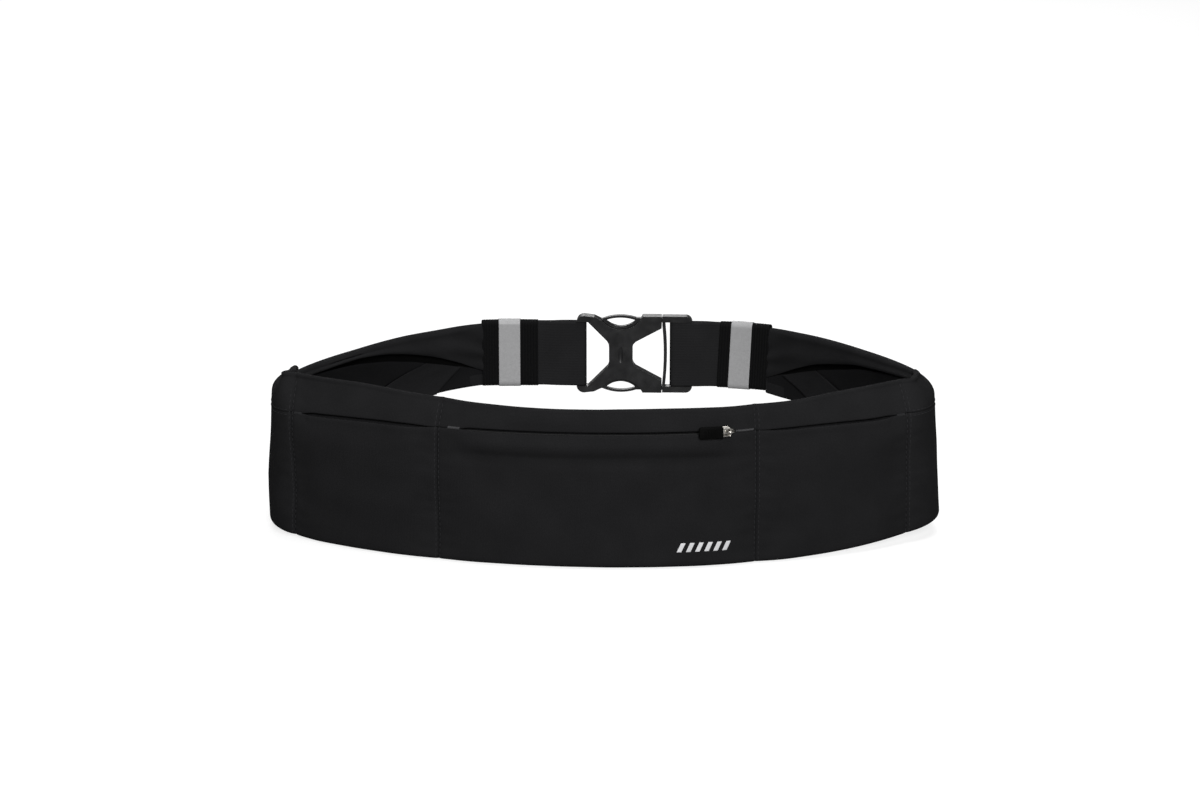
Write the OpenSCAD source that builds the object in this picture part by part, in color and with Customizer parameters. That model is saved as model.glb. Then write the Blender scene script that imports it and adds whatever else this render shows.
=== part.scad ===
// A stretch money belt: flat pockets sewn into a wide waistband that narrows at
// the back to two straps, joined by a side-release buckle.
// Millimetres, +Z up, front of the belt towards -Y, standing on its lower edge.
// "Depth" below is measured inwards from the belt's outer face.

/* [Loop] */
// Width of the loop from side to side
loop_w = 380; // [340:5:440]
// Depth of the loop from front to back
loop_d = 212; // [200:2:260]
// Radius of the front curve
front_r = 300; // [260:5:360]
// Radius of the bend at each side
side_r = 35; // [30:1:46]
// Radius of the bend where each rear sleeve meets its strap
shoulder_r = 110; // [90:1:130]
// Angle that the shoulder bend turns through
shoulder_angle = 40; // [32:1:46]
// Half length of the straight run at the back
straight_half = 54; // [50:1:64]

/* [Waistband] */
// Height of the waistband
band_h = 90; // [75:1:110]
// Height of the pocket mouths above the lower edge
mouth_z = 75.5; // [60:0.5:82]
// Open height of a pocket mouth
mouth_gap = 1.6; // [1.4:0.1:2.4]
// Half width of the middle pocket
pocket_half = 88; // [70:1:100]
// Distance between each outer seam and the side bend
seam_to_bend = 0.5; // [0.5:0.5:20]
// Thickness of one layer of knitted fabric
fabric_t = 1.2; // [0.8:0.1:1.8]
// Free depth inside a pocket that lies flat
pocket_gap = 3.0; // [2.6:0.1:3.6]
// Width of a seam allowance between the layers
seam_w = 4; // [3:0.5:6]

/* [Straps] */
// Width of the elastic strap
strap_w = 38; // [30:1:40]
// Thickness of the elastic strap
strap_t = 1.4; // [1:0.1:1.8]
// Height of the straps' middle above the lower edge
strap_z = 72; // [62:1:74]
// Shift of the buckle's middle to the wearer's adjusted side
buckle_x = 13; // [0:1:14]
// Distance along the back from the middle to the left cuff
left_cuff_s = 43; // [43:1:50]
// Distance along the back from the middle to the right cuff
right_cuff_s = 66; // [66:1:72]
// Length of each ribbed cuff along the belt
cuff_l = 32; // [26:1:38]
// Thickness of the ribbed cuff's wall
cuff_t = 1.0; // [0.8:0.1:1.2]
// Width of the reflective tape on each cuff
tape_w = 14; // [8:1:20]
// Thickness of the reflective tape
tape_t = 0.3; // [0.2:0.1:0.5]
// Length of the folded-back strap held inside each cuff
tail_l = 9; // [4:1:14]

/* [Buckle] */
// Half height of the buckle
buckle_half = 23.5; // [22:0.5:26]
// Thickness of the socket
socket_t = 8.4; // [7.6:0.2:10]
// Thickness of the plug's frame
plug_t = 6.8; // [6:0.2:8]
// Radius of the bars that the straps wrap round
bar_r = 1.5; // [1.2:0.1:1.8]
// Thickness of a prong, front to back
prong_t = 3.6; // [3:0.1:4.2]
// Height of a prong's arm
prong_h = 2.6; // [2.2:0.1:3]
// Wall of a prong's open eye
eye_wall = 1.4; // [1.1:0.1:1.6]
// Largest turn of a squeezed prong
squeeze_angle = 6; // [4:0.5:7]

/* [Zip] */
// Half length of the zip
zip_half = 74; // [50:1:80]
// Distance of the closed slider from the middle
slider_x = 71; // [40:1:76]
// Length of the zip slider
slider_l = 8.4; // [7:0.2:10]
// Height of the zip slider
slider_h = 6.4; // [5.4:0.2:8]
// Length of the moulded pull tab
tab_l = 13; // [9:0.5:20]
// Height of the moulded pull tab
tab_h = 6.2; // [5:0.2:9]

/* [Hidden] */
$fn = 96;

// Layers, as depths from the outer face.
inner_face = fabric_t + pocket_gap;          // outer side of the lining
wall_t = inner_face + fabric_t;              // whole thickness of the waistband
clearance = 0.3;                             // gap between bodies that move apart
hairline = 0.02;                             // between two arcs of one sheet

// Straps: two runs either side of a bar, closing up inside the cuff.
strap_mid = wall_t / 2 - 0.4;                // depth of the buckle's middle plane
wrap_r = bar_r + 0.1 + strap_t;              // outer radius of the strap round a bar
run_gap = 0.1;                               // between the two runs inside the cuff
strap_lo = strap_z - strap_w / 2;
strap_hi = strap_z + strap_w / 2;
cuff_depth0 = strap_mid - strap_t - run_gap / 2 - clearance - cuff_t;
cuff_depth1 = strap_mid + strap_t + run_gap / 2 + clearance + cuff_t;
cuff_lo = strap_lo - clearance - cuff_t;
cuff_hi = strap_hi + clearance + cuff_t;

// The loop in plan: front arc, side bend, flank arc, shoulder arc, straight.
back_y = loop_d / 2 - (socket_t / 2 - strap_mid);
front_c = [0, front_r - loop_d / 2];
side_x = (loop_w / 2 - side_r) / (1 - side_r / front_r);
front_turn = asin(side_x / front_r);
outer_seam = side_x - seam_w / 2 - seam_to_bend;
side_c = front_c + (front_r - side_r) * [sin(front_turn), -cos(front_turn)];
shoulder_c = [straight_half, back_y - shoulder_r];
shoulder_dir = [sin(shoulder_angle), cos(shoulder_angle)];
to_side = shoulder_c - side_c;
radius_step = (pow(shoulder_r - side_r, 2) - to_side * to_side)
    / (2 * (to_side * shoulder_dir + shoulder_r - side_r));
flank_r = shoulder_r - radius_step;
flank_c = shoulder_c + radius_step * shoulder_dir;
flank_start = atan2(side_c[1] - flank_c[1], side_c[0] - flank_c[0]);
flank_end = 90 - shoulder_angle;

function front_angle(x) = asin(x / front_r) - 90;
function turn_of(length, radius) = length / radius * 180 / PI;
function shoulder_turn(s) = turn_of(s - straight_half, shoulder_r);

// A curved wall between two angles, depths and heights.
module arc_wall(c, r, a0, a1, d0, d1, z0, z1) {
    translate([c[0], c[1], z0])
        rotate_extrude(start = a0, angle = a1 - a0)
            translate([r - d1, 0]) square([d1 - d0, z1 - z0]);
}

module front_wall(x0, x1, d0, d1, z0, z1) {
    arc_wall(front_c, front_r, front_angle(x0), front_angle(x1), d0, d1, z0, z1);
}

// The bend at the right side, from the front arc to the flank's start.
module side_bend(d0, d1, z0, z1) {
    arc_wall(side_c, side_r, front_turn - 90 + turn_of(hairline, side_r), flank_start,
        d0, d1, z0, z1);
}

// The right flank and shoulder up to a cuff that ends at distance s.
module rear_wall(s, d0, d1, z0, z1) {
    arc_wall(flank_c, flank_r, flank_start, flank_end, d0, d1, z0, z1);
    arc_wall(shoulder_c, shoulder_r, flank_end + turn_of(hairline, shoulder_r),
        90 - shoulder_turn(s), d0, d1, z0, z1);
}

// A run along the right half of the back between two distances from the middle.
module back_run(s0, s1, d0, d1, z0, z1) {
    if (s0 < straight_half)
        translate([s0, back_y - d1, z0])
            cube([min(s1, straight_half) - s0, d1 - d0, z1 - z0]);
    if (s1 > straight_half)
        arc_wall(shoulder_c, shoulder_r, 90 - shoulder_turn(s1),
            90 - shoulder_turn(max(s0, straight_half)), d0, d1, z0, z1);
}

// ---- Waistband ----
module pocket_panel(x0, x1) {
    color("#212121") front_wall(x0, x1, 0, fabric_t, 0, mouth_z - mouth_gap / 2);
}
module pocket_center() { pocket_panel(-pocket_half, pocket_half); }
module pocket_left() { pocket_panel(-outer_seam, -pocket_half); }
module pocket_right() { pocket_panel(pocket_half, outer_seam); }

module side_panel_right() {
    color("#1c1c1c") {
        front_wall(outer_seam, side_x, 0, fabric_t, 0, mouth_z - mouth_gap / 2);
        side_bend(0, fabric_t, 0, mouth_z - mouth_gap / 2);
    }
}
module side_panel_left() { mirror([1, 0, 0]) side_panel_right(); }

module whole_front(d0, d1, z0, z1) {
    front_wall(-side_x, side_x, d0, d1, z0, z1);
    for (side = [0, 1]) mirror([side, 0, 0]) side_bend(d0, d1, z0, z1);
}
// The folded band above the mouths: an outer face and a fold down to the lining.
module top_band() {
    color("#262626") {
        whole_front(0, fabric_t, mouth_z + mouth_gap / 2, band_h);
        whole_front(fabric_t, inner_face, band_h - seam_w, band_h);
    }
}
module lining() {
    color("#1a1a1a") whole_front(inner_face, wall_t, 0, band_h);
}
module bottom_hem() {
    color("#1a1a1a") whole_front(fabric_t, inner_face, 0, seam_w);
}
module divider_seams() {
    color("#1a1a1a") for (x = [-outer_seam, -pocket_half, pocket_half, outer_seam])
        front_wall(x - seam_w / 2, x + seam_w / 2, fabric_t, inner_face,
            seam_w, mouth_z - slider_h);
}

bartack_l = 6;
bartack_h = 1;
bartack_t = 0.35;
bartack_inset = 1.5;
module bartack(x) {
    front_wall(x, x + bartack_l, -bartack_t, 0,
        mouth_z + mouth_gap / 2, mouth_z + mouth_gap / 2 + bartack_h);
}
module bartacks() {
    color("#3a3a3a") {
        bartack(-pocket_half + bartack_inset);
        bartack(pocket_half - bartack_inset - bartack_l);
        for (side = [0, 1]) mirror([side, 0, 0])
            bartack(outer_seam - bartack_inset - bartack_l);
    }
}

// A plain row of slanted dashes, printed low on the middle pocket.
dash_count = 6;
dash_pitch = 5;
dash_w = 2.4;
dash_h = 5;
dash_slant = 2.2;
dash_t = 0.12;
mark_x = 44;
mark_z = 9;
module printed_mark() {
    color("#bdbdbd") for (i = [0 : dash_count - 1])
        intersection() {
            translate([mark_x + i * dash_pitch, -loop_d / 2 + front_r / 4, mark_z])
                rotate([90, 0, 0]) linear_extrude(front_r / 2)
                    polygon([[0, 0], [dash_w, 0],
                        [dash_w + dash_slant, dash_h], [dash_slant, dash_h]]);
            front_wall(mark_x - dash_pitch, mark_x + dash_count * dash_pitch + dash_slant,
                -dash_t, 0, mark_z, mark_z + dash_h);
        }
}

// ---- Rear sleeves ----
// Heights of the tapered edges between the flank and the cuff, by the share of
// the way along X: 0 at the cuff, 1 at the flank's start.
taper_steps = 14;
sleeve_sag = 5;
flank_x = flank_c[0] + flank_r * cos(flank_start);
function taper_x(s) = shoulder_c[0] + shoulder_r * sin(shoulder_turn(s)) + seam_w / 4;
function lower_edge(t) = strap_lo * (1 - pow(t, 1.5));
function upper_edge(t) = strap_hi + (band_h - strap_hi) * t - sleeve_sag * sin(180 * t);
function edge_x(s, t) = taper_x(s) + (flank_x - taper_x(s)) * t;

module taper(s, low, high) {
    translate([0, loop_d, 0]) rotate([90, 0, 0]) linear_extrude(2 * loop_d)
        polygon(concat(
            [for (i = [0 : taper_steps]) let (t = i / taper_steps) [edge_x(s, t), lower_edge(t) + low]],
            [[flank_x + side_r, low], [flank_x + side_r, band_h - high]],
            [for (i = [taper_steps : -1 : 0]) let (t = i / taper_steps) [edge_x(s, t), upper_edge(t) - high]],
            [[taper_x(s) - 2 * seam_w, strap_hi - high], [taper_x(s) - 2 * seam_w, strap_lo + low]]));
}
module rear_layer(s, d0, d1) {
    intersection() {
        rear_wall(s, d0, d1, 0, band_h + strap_w);
        taper(s, 0, 0);
    }
}
module rear_folds(s) {
    difference() {
        rear_layer(s, fabric_t, inner_face);
        taper(s, seam_w, seam_w);
    }
}
left_end_s = left_cuff_s + cuff_l;
right_end_s = right_cuff_s + cuff_l;
module rear_panel_right() { color("#1f1f1f") rear_layer(right_end_s, 0, fabric_t); }
module rear_panel_left() { color("#1f1f1f") mirror([1, 0, 0]) rear_layer(left_end_s, 0, fabric_t); }
module rear_lining_right() { color("#1c1c1c") rear_layer(right_end_s, inner_face, wall_t); }
module rear_lining_left() { color("#1c1c1c") mirror([1, 0, 0]) rear_layer(left_end_s, inner_face, wall_t); }
module rear_folds_right() { color("#1c1c1c") rear_folds(right_end_s); }
module rear_folds_left() { color("#1c1c1c") mirror([1, 0, 0]) rear_folds(left_end_s); }

// ---- Cuffs with reflective tape ----
module cuff(s) {
    difference() {
        back_run(s, s + cuff_l, cuff_depth0, cuff_depth1, cuff_lo, cuff_hi);
        back_run(s - 1, s + cuff_l + 1, cuff_depth0 + cuff_t, cuff_depth1 - cuff_t,
            cuff_lo + cuff_t, cuff_hi - cuff_t);
    }
}
module cuff_tape(s) {
    s0 = s + (cuff_l - tape_w) / 2;
    difference() {
        back_run(s0, s0 + tape_w, cuff_depth0 - tape_t, cuff_depth1 + tape_t,
            cuff_lo - tape_t, cuff_hi + tape_t);
        back_run(s0 - 1, s0 + tape_w + 1, cuff_depth0, cuff_depth1, cuff_lo, cuff_hi);
    }
}
module cuff_right() { color("#111111") cuff(right_cuff_s); }
module cuff_left() { color("#111111") mirror([1, 0, 0]) cuff(left_cuff_s); }
module reflective_tape_right() { color("#9a9a9a") cuff_tape(right_cuff_s); }
module reflective_tape_left() { color("#9a9a9a") mirror([1, 0, 0]) cuff_tape(left_cuff_s); }

// ---- Straps: a main run inside, a wrap round the bar and a tail outside ----
socket_bar_x = -29.5;                        // bars, from the buckle's middle
plug_bar_x = 26.2;
// The runs lie parallel for flat_l past the bar, then close up to the cuff.
module strap(bar_s, flat_l, cuff_s) {
    run0 = strap_mid + run_gap / 2;
    slope_end = cuff_s - 1;
    translate([bar_s, back_y - strap_mid, strap_lo])
        rotate_extrude(start = 90, angle = 180)
            translate([wrap_r - strap_t, 0]) square([strap_t, strap_w]);
    for (side = [-1, 1])
        translate([0, back_y - strap_mid, strap_lo]) linear_extrude(strap_w)
            polygon([[bar_s, side * wrap_r], [bar_s, side * (wrap_r - strap_t)],
                [bar_s + flat_l, side * (wrap_r - strap_t)],
                [slope_end, side * run_gap / 2],
                [slope_end, side * (run_gap / 2 + strap_t)],
                [bar_s + flat_l, side * wrap_r]]);
    back_run(slope_end, cuff_s + cuff_l - clearance, run0, run0 + strap_t, strap_lo, strap_hi);
    back_run(slope_end, cuff_s + tail_l, strap_mid - run_gap / 2 - strap_t,
        strap_mid - run_gap / 2, strap_lo, strap_hi);
}
strap_flat_l = 12;
module strap_right() {
    color("#1f1f1f") strap(buckle_x + plug_bar_x, strap_flat_l, right_cuff_s);
}
module strap_left() {
    color("#1f1f1f") mirror([1, 0, 0])
        strap(-buckle_x - socket_bar_x, strap_flat_l, left_cuff_s);
}

// ---- Buckle, drawn face on about its own middle ----
slot_half = strap_w / 2 + 0.7;               // half height of the strap slots
mouth_x = 18.4;                              // end of the socket's arms
eye_x = -6;                                  // middle of the prongs' eyes
notch_r = 14.6;
notch_y = 29.8;
eye_top_r = 28.6;
prong_y = buckle_half - 2.8;                 // middle of a prong's arm
hinge_x = 20.1;                              // where a prong flexes from the frame
arm_slack = 0.3;
dish_r = 2.4;
dish_bend = 24;
dish_depth = 0.5;
squeeze_room = (hinge_x - eye_x + notch_r / 2) * sin(squeeze_angle) + arm_slack;
module face_on(t) {
    translate([buckle_x, back_y - strap_mid + t / 2, strap_z])
        rotate([90, 0, 0]) linear_extrude(t) children();
}
module both_ways() { for (m = [0, 1]) mirror([0, m]) children(); }

module socket_outline() {
    difference() {
        union() {
            polygon([[-28, buckle_half], [-22, buckle_half - 0.7], [-17.4, 20.6],
                [5.9, 21], [5.9, buckle_half - 0.2], [mouth_x, buckle_half - 0.2],
                [mouth_x, -buckle_half + 0.2], [5.9, -buckle_half + 0.2], [5.9, -21],
                [-17.4, -20.6], [-22, -buckle_half + 0.7], [-28, -buckle_half]]);
            both_ways() translate([-28, buckle_half - 4.5]) circle(4.5);
        }
        // strap side: a wide mouth between the left arms
        polygon([[-40, slot_half], [-25.6, slot_half], [-14.2, 8.2], [-13.2, 6.4],
            [-13, 4], [-13, -4], [-13.2, -6.4], [-14.2, -8.2], [-25.6, -slot_half],
            [-40, -slot_half]]);
        // plug side: a wedge between the right arms
        polygon([[1, 4.6], [1.6, 6.4], [3, 7.9], [mouth_x, 16.2], [40, 16.2], [40, -16.2],
            [mouth_x, -16.2], [3, -7.9], [1.6, -6.4], [1, -4.6]]);
        both_ways() translate([eye_x, notch_y]) circle(notch_r);
    }
}
module prong_channel() {
    both_ways() {
        translate([eye_x + notch_r / 2, prong_y - prong_h / 2 - 2])
            square([mouth_x - eye_x, prong_h + 2 + arm_slack]);
        intersection() {
            translate([eye_x, notch_y]) circle(notch_r + squeeze_room);
            translate([eye_x - 12.2, 0]) square([23.5, buckle_half]);
        }
    }
}
module buckle_socket() {
    color("#232323") {
        difference() {
            face_on(socket_t) socket_outline();
            face_on(prong_t + 2 * arm_slack) prong_channel();
            // a shallow upright dish in the middle of both faces
            for (side = [-1, 1])
                translate([buckle_x + eye_x, back_y - strap_mid
                        + side * (socket_t / 2 - dish_depth + dish_r + dish_bend), strap_z])
                    rotate([0, 90, 0]) rotate_extrude() translate([dish_bend, 0]) circle(dish_r);
        }
        translate([buckle_x + socket_bar_x, back_y - strap_mid, strap_z - slot_half - 1])
            cylinder(r = bar_r, h = 2 * slot_half + 2);
    }
}

lead_bar_r = 170;
lead_bar_w = 1.9;
lead_bar_x = 21.6;
root_gap = 0.1;                              // round a prong's root in the frame
plug_left = 18.8;
plug_right = 36.7;
rear_bar_x = 33.4;
module plug_outline() {
    difference() {
        union() {
            translate([plug_left, -buckle_half + 0.2])
                square([plug_right - plug_left - 4, 2 * buckle_half - 0.4]);
            both_ways() translate([plug_right - 4, buckle_half - 4.2]) circle(4);
            both_ways() translate([plug_left, slot_half])
                square([plug_right - plug_left, buckle_half - 4.2 - slot_half]);
        }
        translate([plug_left - 1, -slot_half]) square([plug_right, 2 * slot_half]);
    }
}
// Two end blocks carry three bars: the first is bowed towards the straps' side.
module lead_bar() {
    intersection() {
        difference() {
            translate([lead_bar_x - lead_bar_r, 0]) circle(lead_bar_r, $fn = 360);
            translate([lead_bar_x - lead_bar_r - lead_bar_w, 0]) circle(lead_bar_r, $fn = 360);
        }
        translate([plug_left, -slot_half - 1]) square([2 * lead_bar_w, 2 * slot_half + 2]);
    }
}
module prong_root() {
    both_ways() {
        translate([hinge_x, prong_y]) circle(prong_h / 2 + root_gap);
        translate([plug_left - 1, prong_y - prong_h / 2 - root_gap])
            square([hinge_x - plug_left + 1, prong_h + 2 * root_gap]);
    }
}
module buckle_plug() {
    color("#232323") {
        difference() {
            union() {
                face_on(plug_t) plug_outline();
                face_on(plug_t - 1.6) lead_bar();
            }
            face_on(prong_t + 2 * root_gap) prong_root();
        }
        translate([buckle_x + plug_bar_x, back_y - strap_mid, strap_z - slot_half - 1])
            cylinder(r = bar_r, h = 2 * slot_half + 2);
        face_on(2 * bar_r - 0.6) translate([rear_bar_x, -slot_half - 1])
            square([plug_right - rear_bar_x, 2 * slot_half + 2]);
    }
}

module eye_lens(inset) {
    intersection() {
        translate([eye_x, buckle_half - eye_top_r]) circle(eye_top_r - inset, $fn = 180);
        translate([eye_x, notch_y]) circle(notch_r - arm_slack - inset);
    }
}
catch_x = 5.2;
module prong_outline() {
    difference() {
        union() {
            eye_lens(0);
            translate([catch_x - 2, prong_y - prong_h / 2])
                square([hinge_x - catch_x + 2, prong_h]);
            translate([hinge_x, prong_y]) circle(prong_h / 2);
            polygon([[catch_x - 2.7, prong_y], [catch_x - 2.7, buckle_half - 1.4],
                [catch_x, buckle_half - 1.7], [catch_x, prong_y]]);
        }
        eye_lens(eye_wall);
    }
}
module prong_upper() { color("#232323") face_on(prong_t) prong_outline(); }
module prong_lower() { color("#232323") face_on(prong_t) mirror([0, 1]) prong_outline(); }

// ---- Zip ----
zip_tape_t = 0.4;
zip_tape_w = 9;
coil_gap = 0.7;                              // half the gap that the slider's neck runs in
coil_w = 1.4;
coil_t = 1.2;
coil_back = fabric_t + zip_tape_t + coil_t;
module zip_tape_upper() {
    color("#101010") front_wall(-zip_half - 2, zip_half + 2, fabric_t, fabric_t + zip_tape_t,
        mouth_z + coil_gap, mouth_z + zip_tape_w);
}
module zip_tape_lower() {
    color("#101010") front_wall(-zip_half - 2, zip_half + 2, fabric_t, fabric_t + zip_tape_t,
        mouth_z - zip_tape_w, mouth_z - coil_gap);
}
module zip_coil(z0) {
    color("#0c0c0c") front_wall(-zip_half, zip_half, fabric_t + zip_tape_t, coil_back, z0, z0 + coil_w);
}
module zip_coil_upper() { zip_coil(mouth_z + coil_gap); }
module zip_coil_lower() { zip_coil(mouth_z - coil_gap - coil_w); }
module zip_stops() {
    color("#8a8a8a") for (x = [-zip_half - 1.6, zip_half + 0.4])
        front_wall(x, x + 1.2, fabric_t + zip_tape_t, coil_back,
            mouth_z - coil_gap - coil_w, mouth_z + coil_gap + coil_w);
}

// The slider's own frame: +X along the zip, +Y inwards, +Z up, at the mouth.
module at_slider() {
    translate([front_c[0], front_c[1], mouth_z])
        rotate([0, 0, front_angle(slider_x) + 90])
            translate([0, -front_r, 0]) children();
}
plate_t = 1.5;
plate_gap = 0.4;
lug_r = 1.3;
lug_half = 1.2;
pin_r = 0.55;
pin_hole_r = pin_r + 0.08;
pin_x = 1.2;
pin_y = -plate_gap - plate_t - lug_r;
neck_half = mouth_gap / 2 - 0.3;
module zip_slider() {
    color("#a8a8a8") at_slider() {
        translate([-slider_l / 2, -plate_gap - plate_t, -slider_h / 2])
            cube([slider_l, plate_t, slider_h]);
        translate([-slider_l / 4, -plate_gap, -neck_half])
            cube([slider_l / 2, plate_gap + coil_back + 0.3, 2 * neck_half]);
        translate([-slider_l / 2, coil_back + 0.2, -slider_h / 2])
            cube([slider_l, 0.7, slider_h]);
        difference() {
            union() {
                translate([pin_x, pin_y, -lug_half]) cylinder(r = lug_r, h = 2 * lug_half);
                translate([pin_x - lug_r, pin_y, -lug_half])
                    cube([2 * lug_r, lug_r, 2 * lug_half]);
            }
            translate([pin_x, pin_y, -lug_half - 1]) cylinder(r = pin_hole_r, h = 2 * lug_half + 2);
        }
    }
}
link_half = 2.2;
link_l = 6.4;
module link_wire(r) {
    translate([pin_x, pin_y, -link_half]) cylinder(r = r, h = 2 * link_half);
    translate([pin_x - link_l, pin_y, -link_half]) cylinder(r = r, h = 2 * link_half);
    for (z = [-link_half, link_half]) {
        translate([pin_x, pin_y, z]) rotate([0, -90, 0]) cylinder(r = r, h = link_l);
        for (x = [pin_x, pin_x - link_l]) translate([x, pin_y, z]) sphere(r);
    }
}
module zip_link() { color("#a8a8a8") at_slider() link_wire(pin_r); }
tab_t = 2.2;
tab_x = -3.6;
module zip_pull_tab() {
    color("#0e0e0e") at_slider() difference() {
        union() {
            translate([tab_x - tab_l + tab_h / 2, pin_y - tab_t / 2, -tab_h / 2])
                cube([tab_l - tab_h / 2, tab_t, tab_h]);
            translate([tab_x - tab_l + tab_h / 2, pin_y + tab_t / 2, 0])
                rotate([90, 0, 0]) cylinder(r = tab_h / 2, h = tab_t);
        }
        link_wire(pin_r);
    }
}

pocket_center();
pocket_left();
pocket_right();
side_panel_left();
side_panel_right();
top_band();
lining();
bottom_hem();
divider_seams();
bartacks();
printed_mark();
rear_panel_left();
rear_panel_right();
rear_lining_left();
rear_lining_right();
rear_folds_left();
rear_folds_right();
cuff_left();
cuff_right();
reflective_tape_left();
reflective_tape_right();
strap_left();
strap_right();
buckle_socket();
buckle_plug();
prong_upper();
prong_lower();
zip_tape_upper();
zip_tape_lower();
zip_coil_upper();
zip_coil_lower();
zip_stops();
zip_slider();
zip_link();
zip_pull_tab();
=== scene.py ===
# %% [markdown]
# # A stretch money belt
# The belt is knitted fabric sewn flat and then closed into a loop, so almost every piece is a
# thin sheet that follows one curve round the waist. This lesson works in that way: it lays the
# loop out once, in plan, and then places every sheet by three numbers: how far round the loop it
# is, how high it is, and how deep it lies behind the outer face.

# %% Load the frame
import math

import bpy
import numpy as np
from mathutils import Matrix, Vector


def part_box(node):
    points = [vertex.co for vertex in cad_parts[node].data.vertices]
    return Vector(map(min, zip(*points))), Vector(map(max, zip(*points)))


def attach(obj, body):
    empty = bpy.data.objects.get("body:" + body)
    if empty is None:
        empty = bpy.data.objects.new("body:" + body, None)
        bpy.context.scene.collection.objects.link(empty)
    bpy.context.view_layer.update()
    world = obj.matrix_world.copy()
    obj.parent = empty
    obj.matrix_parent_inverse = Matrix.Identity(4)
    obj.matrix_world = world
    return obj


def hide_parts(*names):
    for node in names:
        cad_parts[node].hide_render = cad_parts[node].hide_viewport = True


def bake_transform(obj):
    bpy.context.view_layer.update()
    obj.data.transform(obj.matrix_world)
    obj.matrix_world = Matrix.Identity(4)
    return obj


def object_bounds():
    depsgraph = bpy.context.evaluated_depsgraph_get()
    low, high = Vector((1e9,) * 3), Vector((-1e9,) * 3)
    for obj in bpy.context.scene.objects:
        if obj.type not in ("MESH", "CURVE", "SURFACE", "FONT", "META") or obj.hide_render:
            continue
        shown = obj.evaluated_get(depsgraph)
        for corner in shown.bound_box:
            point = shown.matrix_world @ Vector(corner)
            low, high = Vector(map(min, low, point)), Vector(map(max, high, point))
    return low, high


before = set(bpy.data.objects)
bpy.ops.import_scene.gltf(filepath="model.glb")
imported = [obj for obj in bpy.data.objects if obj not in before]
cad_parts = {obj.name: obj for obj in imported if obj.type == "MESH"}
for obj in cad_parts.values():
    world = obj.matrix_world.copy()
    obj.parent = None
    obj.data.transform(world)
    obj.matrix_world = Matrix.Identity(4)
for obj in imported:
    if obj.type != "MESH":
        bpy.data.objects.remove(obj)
scene = bpy.context.scene
cad_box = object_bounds()
MM = 0.001

# %% [markdown]
# ## Camera and light
# A long lens from a little above keeps the loop's front and back in one picture. The fabric is
# nearly black, so it is lit by broad soft boxes: their wide, even light is what shows a fold.

# %% Camera
VIEW_AZIMUTH = math.radians(2.1)
VIEW_HEIGHT = math.radians(14.7)
VIEW_DISTANCE = 2.0
target = Vector((0, 0, 0.045))
back_to_eye = Vector((math.sin(VIEW_AZIMUTH) * math.cos(VIEW_HEIGHT),
                      -math.cos(VIEW_AZIMUTH) * math.cos(VIEW_HEIGHT), math.sin(VIEW_HEIGHT)))
camera = bpy.data.objects.new("camera", bpy.data.cameras.new("camera"))
scene.collection.objects.link(camera)
camera.location = target + back_to_eye * VIEW_DISTANCE
camera.rotation_mode = "QUATERNION"
camera.rotation_quaternion = (-back_to_eye).to_track_quat("-Z", "Y")
camera.data.sensor_width = 36
camera.data.lens = 104.7
camera.data.shift_x = -0.0025
camera.data.shift_y = 0.033
scene.camera = camera
scene.view_settings.view_transform = "Standard"
print("camera", VIEW_DISTANCE, "m away with a", round(camera.data.lens, 1), "mm lens")


# %% Node helper
def hex_colour(code):
    """A linear RGBA colour from an sRGB hex code such as "#20242a"."""
    channels = [int(code[i:i + 2], 16) / 255 for i in (1, 3, 5)]
    return [c / 12.92 if c <= 0.04045 else ((c + 0.055) / 1.055) ** 2.4 for c in channels] + [1]


def add(tree, kind, inputs=None, **settings):
    """One node: its settings by name, and its inputs by name or number, as values or links."""
    node = tree.nodes.new(kind)
    for name, value in settings.items():
        setattr(node, name, value)
    for key, value in (inputs or {}).items():
        if isinstance(value, bpy.types.NodeSocket):
            tree.links.new(value, node.inputs[key])
        else:
            node.inputs[key].default_value = value
    return node


def new_material(name):
    """An empty node material and its output."""
    made = bpy.data.materials.new(name)
    made.use_nodes = True
    made.node_tree.nodes.clear()
    return made, made.node_tree, add(made.node_tree, "ShaderNodeOutputMaterial")


# %% [markdown]
# The floor is white paper. Light Path's Is Camera Ray lifts it to white for the camera alone, so
# the paper itself can stay a mid grey that throws little light back up at the dark cloth, and
# the belt still has its shadow.


# %% Floor and backdrop
ROOM_LEVEL = 0.08


def studio_floor():
    made, tree, out = new_material("white_paper")
    rays = add(tree, "ShaderNodeLightPath")
    lift = add(tree, "ShaderNodeMath", {0: rays.outputs["Is Camera Ray"], 1: 0.75},
               operation="MULTIPLY")
    paper = add(tree, "ShaderNodeBsdfPrincipled",
                {"Base Color": hex_colour("#9a9a9a"), "Roughness": 0.9,
                 "Emission Color": (1, 1, 1, 1), "Emission Strength": lift.outputs[0]})
    tree.links.new(paper.outputs[0], out.inputs[0])
    bpy.ops.mesh.primitive_plane_add(size=16, location=(0, 0, -0.0003))
    floor = bpy.context.object
    floor.name = "floor"
    floor.data.materials.append(made)


def studio_world():
    world = bpy.data.worlds.new("white_room")
    world.use_nodes = True
    tree = world.node_tree
    tree.nodes.clear()
    rays = add(tree, "ShaderNodeLightPath")
    seen = add(tree, "ShaderNodeMath", {0: rays.outputs["Is Camera Ray"],
               1: rays.outputs["Is Transmission Ray"]}, operation="MAXIMUM")
    level = add(tree, "ShaderNodeMix", {0: seen.outputs[0], 2: ROOM_LEVEL, 3: 1.0})
    sky = add(tree, "ShaderNodeBackground", {"Color": (1, 1, 1, 1), "Strength": level.outputs[0]})
    add(tree, "ShaderNodeOutputWorld", {"Surface": sky.outputs[0]})
    scene.world = world


studio_floor()
studio_world()
print("paper floor, and a room level of", ROOM_LEVEL)


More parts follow.
